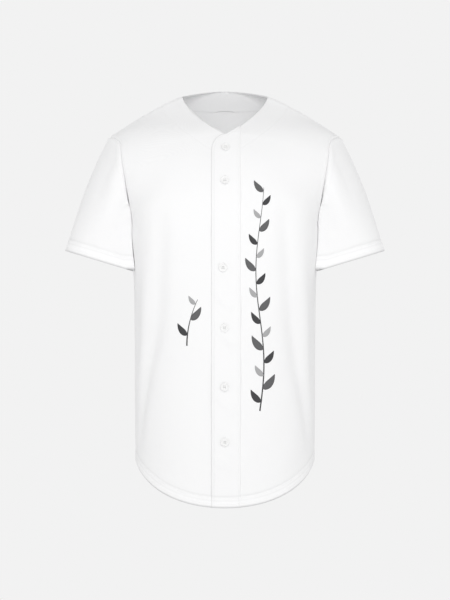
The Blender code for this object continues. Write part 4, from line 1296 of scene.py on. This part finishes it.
class JERSEY_OT_buttons(bpy.types.Operator):
    """Make the six buttons, their thread and their buttonholes"""

    bl_idname = "jersey.buttons"
    bl_label = "Buttons"

    def execute(self, context):
        colours = context.scene.jersey_colours
        plastic = plain_material("button_plastic_white", tuple(colours.button), 0.30, 260.0, 0.00002)
        plastic.node_tree.nodes["Principled BSDF"].inputs["Coat Weight"].default_value = 0.25
        bars, holes = [], []
        placket = panel_tree([jersey().placket])
        for node in BUTTON_NODES:
            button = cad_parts[node]
            button.data.materials.clear()
            button.data.materials.append(plastic)
            corners = np.array([button.matrix_world @ Vector(corner) for corner in button.bound_box])
            middle = corners.mean(axis=0)
            front = np.array((middle[0], corners[:, 1].min() + BUTTON_DISH, middle[2]))
            ahead = np.array((0.0, -1.0, 0.0))
            for x in (-BUTTON_HOLE_OFFSET, BUTTON_HOLE_OFFSET):
                ends = [front + np.array((x, 0.0, z)) for z in (-BUTTON_HOLE_OFFSET, BUTTON_HOLE_OFFSET)]
                bars.append(Course(np.array(ends), np.array([ahead, ahead])))
            for x in (-BUTTONHOLE_HALF_WIDTH, BUTTONHOLE_HALF_WIDTH):
                line = [middle + np.array((x, 0.0, z)) for z in np.linspace(-0.0108, 0.0092, 12)]
                laid = [placket.ray_cast(Vector((p[0], -1.0, p[2])), Vector((0.0, 1.0, 0.0)))[0] for p in line]
                holes.append(Course(np.array([p for p in laid if p]), np.tile(ahead, (len(laid), 1))))
        stitch_piece("button_threads", bars, thread_material(), 0.0030, 0.0, 0.00042)
        stitch_piece("buttonhole_stitches", holes, thread_material(), 0.0007, 0.0001, 0.00038)
        return {"FINISHED"}


class JERSEY_OT_print(bpy.types.Operator):
    """Print a climbing stem and a small sprig on the fronts"""

    bl_idname = "jersey.print"
    bl_label = "Print"

    def execute(self, context):
        colours = context.scene.jersey_colours
        greys = (("dark", colours.print_dark), ("middle", colours.print_middle), ("light", colours.print_light))
        fronts = panel_tree([jersey().left, jersey().right.mirrored()])
        for count, (name, colour) in enumerate(greys):
            shell = bmesh.new()
            for stem in STEMS:
                if count == 0:
                    add_print(shell, fronts, stem, stem_width, 0.00012)
                for k, (place, side, length) in enumerate(leaves_of(stem)):
                    if k % 3 == count:
                        add_print(shell, fronts, leaf_line(place, side, length), leaf_width, 0.00020)
            ink = plain_material(f"print_ink_{name}", tuple(colour), 0.75, 700.0, 0.00004)
            piece = finish_mesh(f"print_{name}", shell, ink)
            layer = piece.modifiers.new("ink", "SOLIDIFY")
            layer.thickness = 0.00010
            layer.offset = -1.0
            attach(piece, "root")
        return {"FINISHED"}


class JERSEY_OT_stage(bpy.types.Operator):
    """Set the floor, the light, the backdrop and the camera"""

    bl_idname = "jersey.stage"
    bl_label = "Stage"

    def execute(self, context):
        scene = context.scene
        backdrop = tuple(scene.jersey_colours.backdrop)
        world = bpy.data.worlds.new("studio")
        world.use_nodes = True
        shade_world(world.node_tree, backdrop)
        scene.world = world
        scene.view_settings.view_transform = "Standard"
        make_floor(backdrop)
        make_light("key_light", (0.0, -3.6, 0.75), (0.0, 0.0, -0.20), 2.2, 43.5)
        make_glow("inner_glow", (0.0, -0.03, -0.17), 0.06, 0.16)
        camera = bpy.data.objects.new("camera", bpy.data.cameras.new("camera"))
        camera.data.sensor_fit = "VERTICAL"
        camera.data.sensor_height = 24.0
        camera.data.lens = 80.0
        camera.location = (0.0, -3.8, -0.386)
        camera.rotation_euler = (math.radians(90.0), 0.0, 0.0)
        scene_place().objects.link(camera)
        scene.camera = camera
        return {"FINISHED"}


def make_light(name, place, target, size, power):
    """A large soft light that looks at a point."""
    light = bpy.data.lights.new(name, "AREA")
    light.size = size
    light.energy = power
    lamp = bpy.data.objects.new(name, light)
    lamp.location = place
    lamp.rotation_euler = (Vector(target) - Vector(place)).to_track_quat("-Z", "Y").to_euler()
    scene_place().objects.link(lamp)
    return lamp


def make_glow(name, place, radius, power):
    """A soft light inside the body, for the daylight that white cloth lets through."""
    light = bpy.data.lights.new(name, "POINT")
    light.shadow_soft_size = radius
    light.energy = power
    lamp = bpy.data.objects.new(name, light)
    lamp.location = place
    scene_place().objects.link(lamp)


def shade_world(tree, backdrop):
    """The backdrop's colour all round, which falls off overhead."""
    here = tree.nodes.new("ShaderNodeTexCoord")
    split = tree.nodes.new("ShaderNodeSeparateXYZ")
    fade = tree.nodes.new("ShaderNodeMapRange")
    fade.interpolation_type = "SMOOTHSTEP"
    fade.inputs["From Min"].default_value = 0.30
    fade.inputs["From Max"].default_value = 0.95
    mixed = tree.nodes.new("ShaderNodeMix")
    mixed.data_type = "RGBA"
    mixed.inputs["A"].default_value = (*backdrop, 1.0)
    mixed.inputs["B"].default_value = (*[c * 0.62 for c in backdrop], 1.0)
    link = tree.links.new
    link(here.outputs["Generated"], split.inputs["Vector"])
    link(split.outputs["Z"], fade.inputs["Value"])
    link(fade.outputs["Result"], mixed.inputs["Factor"])
    link(mixed.outputs["Result"], tree.nodes["Background"].inputs["Color"])


def make_floor(backdrop):
    """A wide pale floor below the jersey, which turns into the backdrop's own colour further out."""
    shell = bmesh.new()
    bmesh.ops.create_circle(shell, cap_ends=True, segments=96, radius=14.0)
    bmesh.ops.translate(shell, verts=shell.verts[:], vec=(0.0, 0.0, -1.30))
    material, tree, shader = new_material("studio_floor", (0.86, 0.86, 0.86), 0.9)
    glow = tree.nodes.new("ShaderNodeEmission")
    glow.inputs["Color"].default_value = (*backdrop, 1.0)
    mixed = tree.nodes.new("ShaderNodeMixShader")
    here = tree.nodes.new("ShaderNodeTexCoord")
    away = tree.nodes.new("ShaderNodeVectorMath")
    away.operation = "LENGTH"
    flat = tree.nodes.new("ShaderNodeVectorMath")
    flat.operation = "MULTIPLY"
    flat.inputs[1].default_value = (1.0, 1.0, 0.0)
    fade = tree.nodes.new("ShaderNodeMapRange")
    fade.interpolation_type = "SMOOTHSTEP"
    fade.inputs["From Min"].default_value = 0.3
    fade.inputs["From Max"].default_value = 1.7
    link = tree.links.new
    link(here.outputs["Object"], flat.inputs[0])
    link(flat.outputs["Vector"], away.inputs[0])
    link(away.outputs["Value"], fade.inputs["Value"])
    link(fade.outputs["Result"], mixed.inputs["Fac"])
    link(shader.outputs["BSDF"], mixed.inputs[1])
    link(glow.outputs["Emission"], mixed.inputs[2])
    link(mixed.outputs["Shader"], tree.nodes["Material Output"].inputs["Surface"])
    floor = finish_mesh("floor", shell, material)


class JERSEY_PT_panel(bpy.types.Panel):
    """The jersey's sizes, colours and steps"""

    bl_idname = "JERSEY_PT_panel"
    bl_label = "Baseball jersey"
    bl_space_type = "VIEW_3D"
    bl_region_type = "UI"
    bl_category = "Jersey"

    def draw(self, context):
        for group in (context.scene.jersey_sizes, context.scene.jersey_colours):
            box = self.layout.box()
            for name in group.__annotations__:
                box.prop(group, name)
        for step in STEPS:
            self.layout.operator(step.bl_idname)


STEPS = (
    JERSEY_OT_fronts,
    JERSEY_OT_back,
    JERSEY_OT_sleeves,
    JERSEY_OT_placket,
    JERSEY_OT_neck_facing,
    JERSEY_OT_stitching,
    JERSEY_OT_buttons,
    JERSEY_OT_print,
    JERSEY_OT_stage,
)
CLASSES = (JerseySizes, JerseyColours, *STEPS, JERSEY_PT_panel)


def register():
    for item in CLASSES:
        bpy.utils.register_class(item)
    bpy.types.Scene.jersey_sizes = bpy.props.PointerProperty(type=JerseySizes)
    bpy.types.Scene.jersey_colours = bpy.props.PointerProperty(type=JerseyColours)


def unregister():
    del bpy.types.Scene.jersey_colours
    del bpy.types.Scene.jersey_sizes
    for item in reversed(CLASSES):
        bpy.utils.unregister_class(item)


def main():
    """Make the jersey."""
    register()
    for step in STEPS:
        group, name = step.bl_idname.split(".")
        getattr(getattr(bpy.ops, group), name)()


if __name__ == "__main__":
    main()
